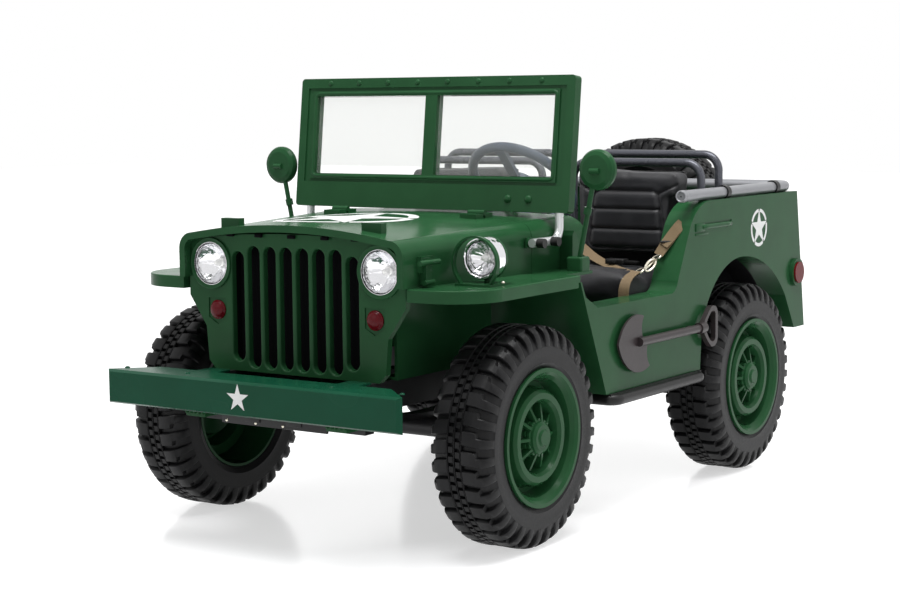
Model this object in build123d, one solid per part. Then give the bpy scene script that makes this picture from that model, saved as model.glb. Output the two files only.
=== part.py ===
from build123d import *
import os
from math import sin, cos, radians

# Child's ride-on toy in the shape of an old open army 4x4.
# Millimetres. +X is the toy's left side, the front faces -Y, +Z is up, the floor is Z = 0.
# The origin is on the floor below the middle of the whole toy.
# Places along Y are given from the front axle and moved by axle_y.

# Driving dimensions
axle_y = -440.5
wheelbase = 800.0
track_half = 321.0
tyre_radius = 185.0
axle_z = tyre_radius
body_half = 360.0
sill_z = 223.0
frame_top = 283.0
fender_top = 440.0
ledge_z = 543.0
panel_t = 5.0
seat_gap = 0.3
run_gap = 0.3
shaft_gap = 0.1

# Frame rails
rail_x = 149.0
rail_w = 40.0
rail_h = 48.0
cross_w = 24.0
cross_h = 33.0

# Bumper
bumper_front = -309.0
bumper_half = 308.0
bumper_bevel = 7.0
bumper_depth = 68.0
bumper_mitre = 65.0
bumper_bottom = 230.0
bumper_h = 58.0
bumper_t = 4.5

# Wheels
rim_lip_r = 115.5
rim_lip_x = 56.7
barrel_r = 112.0
barrel_t = 5.0
barrel_half = 50.0
hub_r = 24.0
hub_in = 41.0
hub_end = 46.0
rib_count = 10
rib_t = 5.0
tyre_half = 54.0
tread_half = 40.0
shoulder_r = 158.0
wall_r = 140.0
lug_count = 36
lug_depth = 8.0
lug_foot_w = 23.0
lug_top_w = 16.0
spindle_r = 9.0
spindle_end = 42.0

# Front axle and steering
king_x = 255.0
king_r = 6.0
knuckle_r = 14.0
knuckle_h = 46.0
fork_t = 10.0
beam_r = 18.0
arm_back = 72.0
arm_pin_r = 5.0
tie_r = 6.0
rear_tube_r = 22.0

# Hood and cowl
hood_front = -197.0
hood_rear = 148.0
seam = 1.0
hood_w_front = 236.0
hood_w_rear = 262.0
hood_top_front = 535.0
hood_top_rear = 536.0
crown_front = 18.0
crown_rear = 8.0
hood_corner = 28.0
hood_t = 4.0
hood_lip = 16.0
hood_lip_t = 12.0
hood_bottom = fender_top + seat_gap

# Grille panel
grille_front = -179.0
grille_t = 12.0
grille_half = hood_w_front - 7.0
grille_waist = 193.0
grille_foot = 188.0
grille_top = 519.0
lamp_x = grille_half - 50.0
lamp_z = 464.0
lamp_r = 36.0
lamp_recess_r = lamp_r + 7.0
slot_count = 8
slot_pitch = 2 * (lamp_x - lamp_r - 4.6) / slot_count
slot_w = slot_pitch - 8.6
slot_low = 290.0
slot_high = 496.0
slot_round = 3.0
marker_x = lamp_x - 12.0
marker_z = 385.0
marker_r = 16.5

# Windshield
shield_lean = 6.7
shield_y = 205.0
shield_z = 541.0
shield_half = 302.0
shield_h = 240.5
shield_t = 20.0
glass_t = 4.0
window_in = 13.0
window_out = 262.0
window_low = 62.0
window_high = 207.0
arm_x = hood_w_rear + 14.0
arm_r = 7.5
pivot_y = 135.0
pivot_z = 493.0
clamp_y = 182.0

# Load bay and side walls
side_w = 55.0
wall_in = body_half - side_w
rear_top_y = wheelbase + 240.0
rear_foot_y = wheelbase + 282.0
rear_foot_z = 258.0
arch_top = 424.0
door_z = 379.0
floor_t = 6.0
well_in = 250.0
reflector_y = wheelbase + 234.0
reflector_z = 374.0
reflector_r = 22.0
boss_r = 29.0
boss_h = 7.0

# Seats, hoops and rail
seat_in = 80.0
seat_out = wall_in - 2.0
seat_base_top = 345.0
hoop_r = 8.0
hoop_x_in = 37.0
hoop_x_out = body_half - 39.0
hoop_bend = 32.0
rail_r = 11.0
side_rail_x = body_half - 15.0
side_rail_front = wheelbase - 255.0
side_rail_rear = wheelbase + 230.0

# Mirrors
foot_in = hood_w_rear + 34.0
mirror_x = 350.0
mirror_y = 222.0
mirror_z = 616.0
mirror_r = 35.5

# Hood hinges
hinge_x = 150.0
hinge_w = 34.0
hinge_r = 5.0

# Spare wheel
spare_x = -35.0
spare_y = rear_foot_y + 51.0
spare_z = 464.0


def at(y):
    return axle_y + y


def box(x0, x1, y0, y1, z0, z1):
    return Pos((x0 + x1) / 2, at((y0 + y1) / 2), (z0 + z1) / 2) * Box(x1 - x0, y1 - y0, z1 - z0)


def rod_x(r, x0, x1, y, z):
    return Pos((x0 + x1) / 2, at(y), z) * Rot(0, 90, 0) * Cylinder(r, x1 - x0)


def rod_y(r, x, y0, y1, z):
    return Pos(x, at((y0 + y1) / 2), z) * Rot(90, 0, 0) * Cylinder(r, y1 - y0)


def rod_z(r, x, y, z0, z1):
    return Pos(x, at(y), (z0 + z1) / 2) * Cylinder(r, z1 - z0)


def flip(shape):
    return mirror(shape, about=Plane.YZ)


def both(shape):
    return Compound(children=[shape, flip(shape)])


def side_face(edges):
    # Side profiles are drawn as (y, z), and their normal is +X
    return make_face(edges)


def slab_x(face, x0, x1):
    return extrude(Plane.YZ.offset(x0) * face, x1 - x0)


def tube(points, r, bend):
    path = FilletPolyline(*[(x, at(y), z) for x, y, z in points], radius=bend)
    ring = Plane(origin=path @ 0, z_dir=path % 0) * Circle(r)
    return sweep(ring, path=path)


def yz(*points):
    return [(at(y), z) for y, z in points]


def across(y):
    return Plane(origin=(0, at(y), 0), x_dir=(1, 0, 0), z_dir=(0, -1, 0))


def save(shape, name):
    export_step(shape, "parts/" + name + ".step")


os.makedirs("parts", exist_ok=True)

# Frame: two rails, cross members under the running board stubs, front horns in the bumper
rail_in = rail_x - rail_w / 2
rail_out = rail_x + rail_w / 2
frame_low = frame_top - rail_h
horn_front = bumper_front + bumper_t
frame_rear = wheelbase + 235.0
spring_half = 165.0
board_front = 250.0
board_rear = wheelbase - 210.0
board_z = 212.0
one_rail = box(rail_in, rail_out, horn_front, frame_rear, frame_low, frame_top)
chassis = one_rail + flip(one_rail)
for cross_y in (-spring_half - 35, board_front, board_rear, wheelbase + spring_half + 35):
    cross_a = cross_y - cross_w / 2
    chassis += box(-rail_out, rail_out, cross_a, cross_a + cross_w, frame_low - cross_h, frame_low)
save(chassis, "chassis_frame")

# Leaf springs between hangers under the rails, clamped on the axles
spring_w = 28.0
spring_t = 10.0
hanger_t = 6.0


def spring(axle_at, seat_r):
    low = axle_z + seat_r + seat_gap
    high = frame_low - spring_t - hanger_t
    front = axle_at - spring_half
    rear = axle_at + spring_half
    top = high + spring_t
    under = ThreePointArc(*yz((front, high), (axle_at, low), (rear, high)))
    over = ThreePointArc(*yz((rear, top), (axle_at, low + spring_t), (front, top)))
    outline = side_face([under, Line(under @ 1, over @ 0), over, Line(over @ 1, under @ 0)])
    leaf_in = rail_x - spring_w / 2
    leaf_out = rail_x + spring_w / 2
    leaf = slab_x(outline, leaf_in, leaf_out)
    for end in (-1, 1):
        y = axle_at + end * (spring_half - spring_t)
        leaf += box(leaf_in, leaf_out, y - spring_t, y + spring_t, high + 1, frame_low)
    return leaf


front_spring = spring(0, beam_r)
rear_spring = spring(wheelbase, rear_tube_r)
save(Compound(children=[front_spring, flip(front_spring), rear_spring, flip(rear_spring)]), "leaf_springs")

# Front axle: beam, forked ends and kingpins
fork_in = king_x - 30
fork_out = king_x + 11
fork_half = knuckle_h / 2 + run_gap
fork_low = axle_z - fork_half - fork_t
fork_high = axle_z + fork_half + fork_t
front_end = box(fork_in, king_x - knuckle_r - 4, -14, 14, fork_low, fork_high)
for side in (-1, 1):
    middle = axle_z + side * (fork_half + fork_t / 2)
    front_end += box(fork_in, fork_out, -14, 14, middle - fork_t / 2, middle + fork_t / 2)
front_end += rod_z(king_r, king_x, 0, fork_low, fork_high)
front_axle = rod_x(beam_r, -fork_in - 1, fork_in + 1, 0, axle_z) + front_end + flip(front_end)
save(front_axle, "front_axle")

# Knuckles: barrel on the kingpin, spindle outwards, steering arm backwards with a pin for the tie rod
spindle_far = track_half + spindle_end
knuckle = rod_z(knuckle_r, king_x, 0, axle_z - knuckle_h / 2, axle_z + knuckle_h / 2)
knuckle += rod_x(spindle_r, king_x, spindle_far, 0, axle_z)
knuckle += box(king_x - 8, king_x + 8, 6, arm_back, axle_z - 6, axle_z + 6)
knuckle += rod_z(8, king_x, arm_back, axle_z - 6, axle_z + 6)
knuckle += rod_z(arm_pin_r, king_x, arm_back, axle_z - 22, axle_z - 5)
knuckle -= rod_z(king_r + shaft_gap, king_x, 0, axle_z - knuckle_h, axle_z + knuckle_h)
save(knuckle, "knuckle_l")
save(flip(knuckle), "knuckle_r")

# Tie rod below the steering arms
tie_z = axle_z - 15
eye = rod_z(11, king_x, arm_back, tie_z - tie_r - 1, tie_z + tie_r + 1)
tie = rod_x(tie_r, -king_x + 7, king_x - 7, arm_back, tie_z) + eye + flip(eye)
tie_hole = rod_z(arm_pin_r + shaft_gap, king_x, arm_back, tie_z - 12, tie_z + 12)
tie = tie - tie_hole - flip(tie_hole)
save(tie, "tie_rod")

# Rear axle: tube, two motor gearboxes, spindles
gear_in = 176.0
gear_out = 240.0
rear_half = rod_x(spindle_r, gear_in, spindle_far, wheelbase, axle_z)
rear_half += box(gear_in, gear_out, wheelbase - 52, wheelbase + 52, axle_z - 40, axle_z + 44)
rear_axle = rod_x(rear_tube_r, -gear_in - 1, gear_in + 1, wheelbase, axle_z) + rear_half + flip(rear_half)
save(rear_axle, "rear_axle")

# Bumper: channel open to the rear, its face bevelled all round and its ends mitred inwards
bumper_mid = bumper_bottom + bumper_h / 2
bumper_rear = bumper_front + bumper_depth
lip_y = bumper_front + bumper_bevel


def bumper_cut(y, half, h):
    return across(y) * Pos(0, bumper_mid) * Rectangle(2 * half, h)


face_half = bumper_half - bumper_bevel
back_half = bumper_half - bumper_mitre
face = bumper_cut(bumper_front, face_half, bumper_h - bumper_bevel)
widest = bumper_cut(lip_y, bumper_half, bumper_h)
outer = loft([face, widest], ruled=True) + loft([widest, bumper_cut(bumper_rear, back_half, bumper_h)], ruled=True)
room_h = bumper_h - 2 * bumper_t
room_half = face_half - bumper_t
room_rear = bumper_cut(bumper_rear + 1, back_half - bumper_t, room_h)
room = loft([bumper_cut(horn_front, room_half, room_h), room_rear], ruled=True)
save(outer - room, "bumper")

# Rims: the profile is (out along the axle, radius), with ribs round the hub
rim_profile = [
    (hub_end, 0), (57, 0), (57, 12), (54, 15), (54, 22), (50, hub_r + 3), (34, 30), (28, 36), (25, 54),
    (44, 60), (50, 64), (50, 74), (45, 79), (20, 85), (19, 93), (45, 99), (52, 104), (rim_lip_x, 109),
    (rim_lip_x, rim_lip_r), (barrel_half + 1, rim_lip_r), (barrel_half + 1, barrel_r),
    (-barrel_half, barrel_r), (-barrel_half, barrel_r - barrel_t), (42, barrel_r - barrel_t),
    (13, 99), (13, 80), (42, 73), (42, 67), (18, 58), (22, 30),
    (-hub_in, hub_r), (-hub_in, spindle_r + shaft_gap), (hub_end, spindle_r + shaft_gap),
]
rim = revolve(make_face(Polyline(*rim_profile, close=True)), Axis.X)
rib_edge = Polyline((24, 26), (47, 26), (45, 34), (38, 56), (24, 56), close=True)
rib = extrude(make_face(rib_edge), rib_t / 2, both=True)
for i in range(rib_count):
    rim += Rot(i * 360 / rib_count, 0, 0) * rib

# Tyres: a toothed ring of lugs, cut to its shoulders, with sunk beads beside the rim
pitch = radians(360 / lug_count)
bead_r = barrel_r + seat_gap
bead_x = barrel_half - 0.2


def ring(x, flat_r):
    # A many-sided outline across the axle, given by the radius to its flats
    corner_r = flat_r / cos(pitch / 2)
    corners = [((i + 0.5) * pitch) for i in range(lug_count)]
    points = [(corner_r * cos(a), corner_r * sin(a)) for a in corners]
    return Plane.YZ.offset(x) * make_face(Polyline(*points, close=True))


lug_sides = (
    (-lug_foot_w / 2, tyre_radius - lug_depth),
    (-lug_top_w / 2, tyre_radius),
    (lug_top_w / 2, tyre_radius),
    (lug_foot_w / 2, tyre_radius - lug_depth),
)
toothed = []
for i in range(lug_count):
    for aside, out in lug_sides:
        a = i * pitch
        toothed.append((out * cos(a) - aside * sin(a), out * sin(a) + aside * cos(a)))
tread = extrude(Plane.YZ.offset(-tyre_half) * make_face(Polyline(*toothed, close=True)), 2 * tyre_half)
shoulder = loft([ring(tread_half, tyre_radius), ring(tyre_half, shoulder_r)], ruled=True)
cover = extrude(ring(-tread_half, tyre_radius + 1), 2 * tread_half) + shoulder + flip(shoulder)
bead = loft([ring(bead_x, bead_r - 1), ring(tyre_half, wall_r)], ruled=True)
tyre = (tread & cover) - bead - flip(bead)
tyre -= extrude(ring(-tyre_half - 1, bead_r), 2 * tyre_half + 2)

wheels = (
    ("l_front", track_half, 0),
    ("r_front", -track_half, 0),
    ("l_rear", track_half, wheelbase),
    ("r_rear", -track_half, wheelbase),
)
for place, x, y in wheels:
    turn = Rot(0, 0, 0) if x > 0 else Rot(0, 0, 180)
    seat = Pos(x, at(y), axle_z) * turn
    save(seat * tyre, "tyre_" + place)
    save(seat * rim, "rim_" + place)

spare_seat = Pos(spare_x, at(spare_y), spare_z) * Rot(0, 0, 90)
save(spare_seat * tyre, "spare_tyre")
save(spare_seat * rim, "spare_rim")

# Side wall of the body: outline with the sill, the rear wheel arch, the rear edge and the door cut
front_top_y = hood_rear - 1
front_foot_y = hood_rear + 88
shoulder_z = fender_top - 12
arch_front = wheelbase - 196
arch_rear = wheelbase + 185
arch_low = 300.0
arch_end = 330.0
door_rear = wheelbase - 160
door_back = wheelbase - 295
arch_a = ThreePointArc(*yz((arch_front, arch_low), (wheelbase - 132, arch_top - 35), (wheelbase, arch_top)))
arch_b = ThreePointArc(*yz((wheelbase, arch_top), (wheelbase + 106, arch_top - 30), (arch_rear, arch_end)))
door_foot = door_back - 31
door_curve = ThreePointArc(*yz((door_rear, ledge_z), (door_rear - 52, ledge_z - 14), (door_rear - 84, ledge_z - 43)))
door_toe = ThreePointArc(*yz((door_back, door_z + 21), (door_back - 11, door_z + 5), (door_foot, door_z)))
side_outline = [
    Polyline(*yz((front_top_y, shoulder_z), (front_foot_y, sill_z), (arch_front - 7, sill_z))),
    Line(*yz((arch_front - 7, sill_z), (arch_front, arch_low))),
    arch_a,
    arch_b,
    Polyline(*yz((arch_rear, arch_end), (arch_rear + 46, rear_foot_z), (rear_foot_y, rear_foot_z))),
    Polyline(*yz((rear_foot_y, rear_foot_z), (rear_top_y, ledge_z), (door_rear, ledge_z))),
    door_curve,
    Line(door_curve @ 1, door_toe @ 0),
    door_toe,
    Polyline(*yz((door_foot, door_z), (206, door_z), (165, door_z + 22), (front_top_y + 5, shoulder_z))),
    Line(*yz((front_top_y + 5, shoulder_z), (front_top_y, shoulder_z))),
]
side = side_face(side_outline)
side_wall = slab_x(side, wall_in, body_half)


def slope_y(z):
    return rear_top_y + (ledge_z - z) * (rear_foot_y - rear_top_y) / (ledge_z - rear_foot_z)


def front_y(z):
    return front_top_y + (shoulder_z - z) * (front_foot_y - front_top_y) / (shoulder_z - sill_z)


def leaning(line_y, z0, z1, depth):
    edge = yz((line_y(z0), z0), (line_y(z1), z1), (line_y(z1) + depth, z1), (line_y(z0) + depth, z0))
    return slab_x(side_face(Polyline(*edge, close=True)), -wall_in, wall_in)


front_wall = leaning(front_y, shoulder_z, frame_top, panel_t * 1.1)
rear_panel = leaning(slope_y, ledge_z, rear_foot_z, -panel_t)
floor = box(-wall_in, wall_in, front_y(frame_top + floor_t), arch_front + 1, frame_top, frame_top + floor_t)
floor += box(-well_in, well_in, arch_front, slope_y(frame_top), frame_top, frame_top + floor_t)
boss = rod_x(boss_r, body_half - 1, body_half + boss_h, reflector_y, reflector_z)
groove = box(body_half - 2, body_half + 1, wheelbase - 221, wheelbase - 70, ledge_z - 51, ledge_z - 41)
save(both(side_wall + boss - groove), "side_walls")
tub = front_wall + floor + rear_panel
save(tub, "tub")

# Inner rear wheel wells: arch shell and side wall, inboard of the side walls
floor_z = frame_top + floor_t
well_face = side_face([
    Line(*yz((arch_front - 7, floor_z), (arch_front, arch_low))),
    arch_a,
    arch_b,
    Polyline(*yz((arch_rear, arch_end), (arch_rear + 23, floor_z), (arch_front - 7, floor_z))),
])
well_out = offset(well_face, amount=panel_t, kind=Kind.INTERSECTION)
well = slab_x(well_out, well_in, wall_in) - slab_x(well_face, well_in + panel_t, wall_in + 1)
well -= box(0, body_half, arch_front - 100, arch_rear + 100, floor_z - 80, floor_z)
save(both(well), "wheel_wells")

# Front body: fenders with skirts, shoulders, engine bay walls, cowl with dash
bay_wall = rail_x + 25.0
lamp_back = grille_front + 43.0
skirt = 21.0
fender_front = -187.0
fender_half = body_half + 2.0
fender_round = 85.0
fender_bend = min(fender_round, fender_half - hood_w_front - 12.0)
edge_round = 2.5


def fender_plan(t):
    inner = hood_w_front + t
    front = at(fender_front + t)
    side_x = fender_half - t
    bend = fender_bend - t
    c = bend * (1 - cos(radians(45)))
    rear = at(front_y(shoulder_z) - t)
    turn = ThreePointArc((side_x - bend, front), (side_x - c, front + c), (side_x, front + bend))
    return make_face([
        Polyline((bay_wall + t, rear), (bay_wall + t, at(lamp_back + t)), (inner, at(lamp_back + t))),
        Line((inner, at(lamp_back + t)), (inner, front)),
        Line((inner, front), turn @ 0),
        turn,
        Polyline(turn @ 1, (body_half - t, at(0)), (body_half - t, rear), (bay_wall + t, rear)),
    ])


fender = extrude(Plane.XY.offset(fender_top - skirt) * fender_plan(0), skirt)
top_edges = [e for e in fender.edges().group_by(Axis.Z)[-1] if e.center().X > hood_w_front + 1]
fender = fillet([e for e in top_edges if e.center().Y < at(front_y(shoulder_z)) - 1], edge_round)
fender -= extrude(Plane.XY.offset(fender_top - skirt - 1) * fender_plan(panel_t), skirt - panel_t + 1)
rear_y = front_y(shoulder_z)
skirt_low = fender_top - skirt
fender -= box(bay_wall + panel_t, body_half + 10, rear_y - panel_t - 1, rear_y + 1, skirt_low - 1, shoulder_z)
fender += box(bay_wall, body_half - 30, rear_y - 1, mirror_y + 18, fender_top - panel_t, fender_top)
fender += box(bay_wall, bay_wall + panel_t, lamp_back, rear_y, frame_top, fender_top)
fender += box(rail_x, bay_wall + 1, lamp_back, rear_y + 20, frame_top, frame_top + panel_t)


def hood_section(half, top, crown, low, inset):
    w = half - inset
    c = hood_corner - inset
    peak = top - inset
    edge = top - crown - inset
    bend = c * (1 - cos(radians(45)))
    return [
        Polyline((-w, low), (-w, edge - c)),
        ThreePointArc((-w, edge - c), (-w + bend, edge - bend), (-w + c, edge)),
        ThreePointArc((-w + c, edge), (0, peak), (w - c, edge)),
        ThreePointArc((w - c, edge), (w - bend, edge - bend), (w, edge - c)),
        Polyline((w, edge - c), (w, low), (-w, low)),
    ]


def hood_form(y0, y1, low, inset, over):
    share0 = (y0 - hood_front) / (hood_rear - hood_front)
    share1 = (y1 - hood_front) / (hood_rear - hood_front)
    parts = []
    for y, s in ((y0 - over, share0), (y1 + over, share1)):
        half = hood_w_front + (hood_w_rear - hood_w_front) * s
        top = hood_top_front + (hood_top_rear - hood_top_front) * s
        crown = crown_front + (crown_rear - crown_front) * s
        parts.append(across(y) * make_face(hood_section(half, top, crown, low, inset)))
    return loft(parts, ruled=True)


cowl_front = hood_rear + seam
dash_y = hood_rear + 114
dash_low = fender_top - panel_t
dash_over = hood_top_rear + 64
dash_edge_z = hood_top_rear - 49
dash_edge = [
    Polyline(*yz((dash_y + 15, dash_low), (cowl_front, dash_low), (cowl_front, dash_over), (dash_y, dash_over))),
    Line(*yz((dash_y, dash_over), (dash_y, hood_top_rear))),
    ThreePointArc(*yz((dash_y, hood_top_rear), (dash_y + 36, hood_top_rear - 14), (dash_y + 47, dash_edge_z))),
    Line(*yz((dash_y + 47, dash_edge_z), (dash_y + 15, dash_low))),
]
dash_face = side_face(dash_edge)
cowl_half = hood_w_rear + 38
cowl_reach = dash_y + 68
dash_slab = slab_x(dash_face, -cowl_half, cowl_half)
cowl_solid = hood_form(cowl_front, cowl_reach, fender_top - panel_t, 0, 0) & dash_slab
dash_room = Pos(0, -panel_t, 0) * dash_slab + Pos(0, -panel_t, -10) * dash_slab
cowl_hollow = hood_form(cowl_front, cowl_reach, fender_top - panel_t - 10, panel_t, 5) & dash_room
cowl = cowl_solid - cowl_hollow
plate_out = hood_w_rear + 4.5
pivot_plate = box(hood_w_rear + seam, plate_out, pivot_y - 9, hood_rear + 5, pivot_z - 9, pivot_z + 9)
pivot_plate += box(hood_w_rear - 4, plate_out, hood_rear + 3, hood_rear + 24, pivot_z - 9, pivot_z + 9)
pivot_plate += rod_x(9, hood_w_rear + 2, arm_x - arm_r - run_gap, pivot_y, pivot_z)
wing_edge = yz((233, 438), (233, 500), (239, 508), (249, 499), (257, 482), (246, 458), (236, 438))
wing = slab_x(side_face(Polyline(*wing_edge, close=True)), hood_w_rear, foot_in - 2)

# Hood hinges on the cowl: a knuckle on the hood's turning line and a leaf behind it
hinge_z = hood_top_rear + hinge_r
hinge_y = hood_rear + seam / 2
hinge_in = hinge_x - hinge_w / 2
hinge_out = hinge_x + hinge_w / 2
hinge = rod_x(hinge_r, hinge_in, hinge_out, hinge_y, hinge_z)
hinge += box(hinge_in, hinge_out, hinge_y + 0.5, hinge_y + 24, hood_top_rear - 8, hinge_z - 1)
front_body = cowl + fender + flip(fender)
for extra in (pivot_plate, wing, hinge):
    front_body += extra + flip(extra)
save(front_body, "front_body")

# Hood: shell with a deep front lip that stands ahead of the grille panel
hood_outer = hood_form(hood_front, hood_rear, hood_bottom, 0, 0)
hood_inner = hood_form(hood_front + hood_lip, hood_rear, hood_bottom - 10, hood_t, 0)
mouth = make_face(hood_section(hood_w_front, hood_top_front, crown_front, hood_bottom - 10, hood_lip_t))
lip_open = extrude(across(hood_front - 1) * mouth, -hood_lip - 3)
hood = hood_outer - hood_inner - lip_open
save(hood, "hood")

# Grille panel: waisted outline, eight round-edged slots, lamp holes and recesses round the markers
foot_x = grille_foot - 14
brow_x = grille_half - 23
side_top = grille_top - 35
waist_z = frame_top + 73
waist_top = waist_z + 52
grille_edge = [
    Polyline((-foot_x, frame_top), (-grille_foot, frame_top + 14), (-grille_waist, waist_z)),
    Polyline((-grille_waist, waist_z), (-grille_half, waist_top), (-grille_half, side_top)),
    ThreePointArc((-grille_half, side_top), (-grille_half + 7, side_top + 16), (-brow_x, grille_top - 12)),
    ThreePointArc((-brow_x, grille_top - 12), (0, grille_top), (brow_x, grille_top - 12)),
    ThreePointArc((brow_x, grille_top - 12), (grille_half - 7, side_top + 16), (grille_half, side_top)),
    Polyline((grille_half, side_top), (grille_half, waist_top), (grille_waist, waist_z)),
    Polyline((grille_waist, waist_z), (grille_foot, frame_top + 14), (foot_x, frame_top)),
    Line((foot_x, frame_top), (-foot_x, frame_top)),
]
grille = extrude(across(grille_front) * make_face(grille_edge), -grille_t)
slot_mid = (slot_high + slot_low) / 2
for i in range(slot_count):
    x = (i - (slot_count - 1) / 2) * slot_pitch
    short = 10 if i in (0, slot_count - 1) else 0
    tall = slot_high - slot_low - 2 * short
    slot = Pos(x, slot_mid) * SlotOverall(tall, slot_w, rotation=90)
    grille -= extrude(across(grille_front - 5) * slot, -grille_t - 10)
front_face = grille.faces().sort_by(Axis.Y)[0]
grille = fillet([e for w in front_face.inner_wires() for e in w.edges()], slot_round)
grille_back = grille_front + grille_t
marker_plate = [(-20, 20), (20, 20), (20, -14), (0, -25), (-20, -14)]
plate_depth = 2.0
for side in (-1, 1):
    grille -= rod_y(lamp_recess_r, side * lamp_x, grille_front - 1, grille_back + 1, lamp_z)
    plate = make_face(Polyline(*[(side * marker_x + dx, marker_z + dz) for dx, dz in marker_plate], close=True))
    grille -= extrude(across(grille_front - 1) * plate, -plate_depth - 1)
    grille -= rod_y(marker_r + seat_gap, side * marker_x, grille_front - 1, grille_back + 1, marker_z)
save(grille, "grille_panel")

# Backing tray that closes the slots from behind
tray_depth = 16.0
tray_half = slot_pitch * slot_count / 2 - 0.4
tray_in = tray_half - 3
tray = box(-tray_half, tray_half, grille_back, grille_back + tray_depth, frame_top + 2, slot_high + 6)
tray -= box(-tray_in, tray_in, grille_front, grille_back + tray_depth - 3, frame_top + 5, slot_high + 3)
save(tray, "grille_backing")

# Headlamps: bowl in the panel, domed lens in front
bowl_out = lamp_recess_r - seat_gap
bowl_edge = [
    (bowl_out, -2), (bowl_out, grille_t), (lamp_r + 3, grille_t), (lamp_r + 1, 26), (lamp_r - 12, 38),
    (0, 38), (0, 32), (10, 32), (lamp_r - 8, 18), (lamp_r, 2), (lamp_r, -2),
]
bowl = revolve(make_face(Polyline(*bowl_edge, close=True)), Axis.Y)


def lens(r):
    rise = r / 6
    dome = ThreePointArc((0, -rise), (r * 0.55, -rise * 0.7), (r - seat_gap, 0))
    edge = [Line((0, 2), (0, -rise)), dome, Polyline(dome @ 1, (r - seat_gap, 2), (0, 2))]
    return revolve(make_face(edge), Axis.Y)


lamp_at = Pos(lamp_x, at(grille_front - 1), lamp_z)
save(both(lamp_at * bowl), "headlamps")

# Spot lamp on the left fender: deep bezel, tapered back and stem
spot_x = 303.5
spot_y = -74.0
spot_z = 483.0
spot_r = 33.0
spot_lens_r = spot_r - 4
spot_edge = [
    (spot_lens_r, -2), (spot_r, -2), (spot_r + 1, 4), (spot_r + 1, 22), (spot_r - 4, 36), (spot_r - 14, 48),
    (spot_r - 24, 54), (0, 54), (0, 32), (12, 26), (spot_lens_r - 4, 10), (spot_lens_r, 2),
]
spot_at = Pos(spot_x, at(spot_y), spot_z)
spot_form = spot_at * revolve(make_face(Polyline(*spot_edge, close=True)), Axis.Y)
guard_t = 3.5
stem = rod_z(7, spot_x, spot_y + 22, fender_top + guard_t, spot_z - spot_r + 6)
save(spot_form + (stem - spot_form), "spot_lamp")
spot_lens = spot_at * lens(spot_lens_r)
save(Compound(children=[lamp_at * lens(lamp_r), flip(lamp_at * lens(lamp_r)), spot_lens]), "lamp_lenses")

# Guard of the spot lamp: a flat strap bent round it, with legs drawn in to a foot plate
guard_r = 44.0
guard_y = -90.0
guard_w = 9.0
ring_z = 477.0


def hoop_plan(r, foot_half):
    knee = r * cos(radians(25))
    knee_z = ring_z - r * sin(radians(25))
    over = ThreePointArc((knee, knee_z), (0, ring_z + r), (-knee, knee_z))
    legs = Polyline((-knee, knee_z), (-foot_half, fender_top), (foot_half, fender_top), (knee, knee_z))
    return Pos(spot_x, 0) * make_face([over, legs])


guard_foot = 28.0
strap = extrude(across(guard_y - guard_w / 2) * hoop_plan(guard_r, guard_foot), -guard_w)
strap -= extrude(across(guard_y - guard_w) * hoop_plan(guard_r - guard_t, guard_foot - guard_t), -2 * guard_w)
plate = box(spot_x - 34, spot_x + 34, guard_y - 10, spot_y + 34, fender_top, fender_top + guard_t)
save(strap + plate, "spot_guard")

# Markers below the headlamps
marker = rod_y(marker_r, marker_x, grille_front - 2, grille_front + grille_t, marker_z)
marker = chamfer(marker.edges().group_by(Axis.Y)[0], 2)
save(both(marker), "markers")

# Windshield: frame with two windows, built upright and leaned back about its foot
lean = Pos(0, at(shield_y), shield_z) * Rot(-shield_lean, 0, 0)
flat = Pos(0, shield_t / 2, shield_h / 2) * Box(2 * shield_half, shield_t, shield_h)
flat = fillet(flat.edges().filter_by(Axis.Y), 7)
window_mid_z = (window_low + window_high) / 2
window_tall = window_high - window_low
recess_t = 3.0
border = 17.0
recess = Pos(0, recess_t / 2, window_mid_z) * Box(2 * (shield_half - border), recess_t, window_tall + 31)
bead = Pos(0, recess_t / 2, window_mid_z) * Box(2 * (window_out + 10), recess_t, window_tall + 20)
flat = flat - (recess - bead)
window_mid = (window_in + window_out) / 2
window_w = window_out - window_in
for side in (-1, 1):
    flat -= Pos(side * window_mid, shield_t / 2, window_mid_z) * Box(window_w, shield_t + 2, window_tall)
frame = lean * flat
save(frame, "windshield_frame")
pane = Box(window_w - 2 * seat_gap, glass_t, window_tall - 2 * seat_gap)
pane = Pos(window_mid, shield_t / 2, window_mid_z) * pane
save(both(lean * pane), "windshield_glass")

# Silver arms from the windshield's foot to the pivot on the cowl, with two knobs each
arm_top = shield_z - 0.5
arm_y = shield_y + 12
arm_path = [(arm_x, arm_y + 2, arm_top + 3), (arm_x, arm_y, pivot_z), (arm_x, pivot_y - 8, pivot_z)]
arm = tube(arm_path, arm_r, 22) - frame
save(both(arm), "windshield_arms")
knob = rod_x(8, arm_x + arm_r + seat_gap, arm_x + arm_r + 14, pivot_y, pivot_z)
knob_b = rod_x(8, arm_x + arm_r + seat_gap, arm_x + arm_r + 14, clamp_y, pivot_z)
save(Compound(children=[knob, flip(knob), knob_b, flip(knob_b)]), "arm_knobs")

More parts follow.
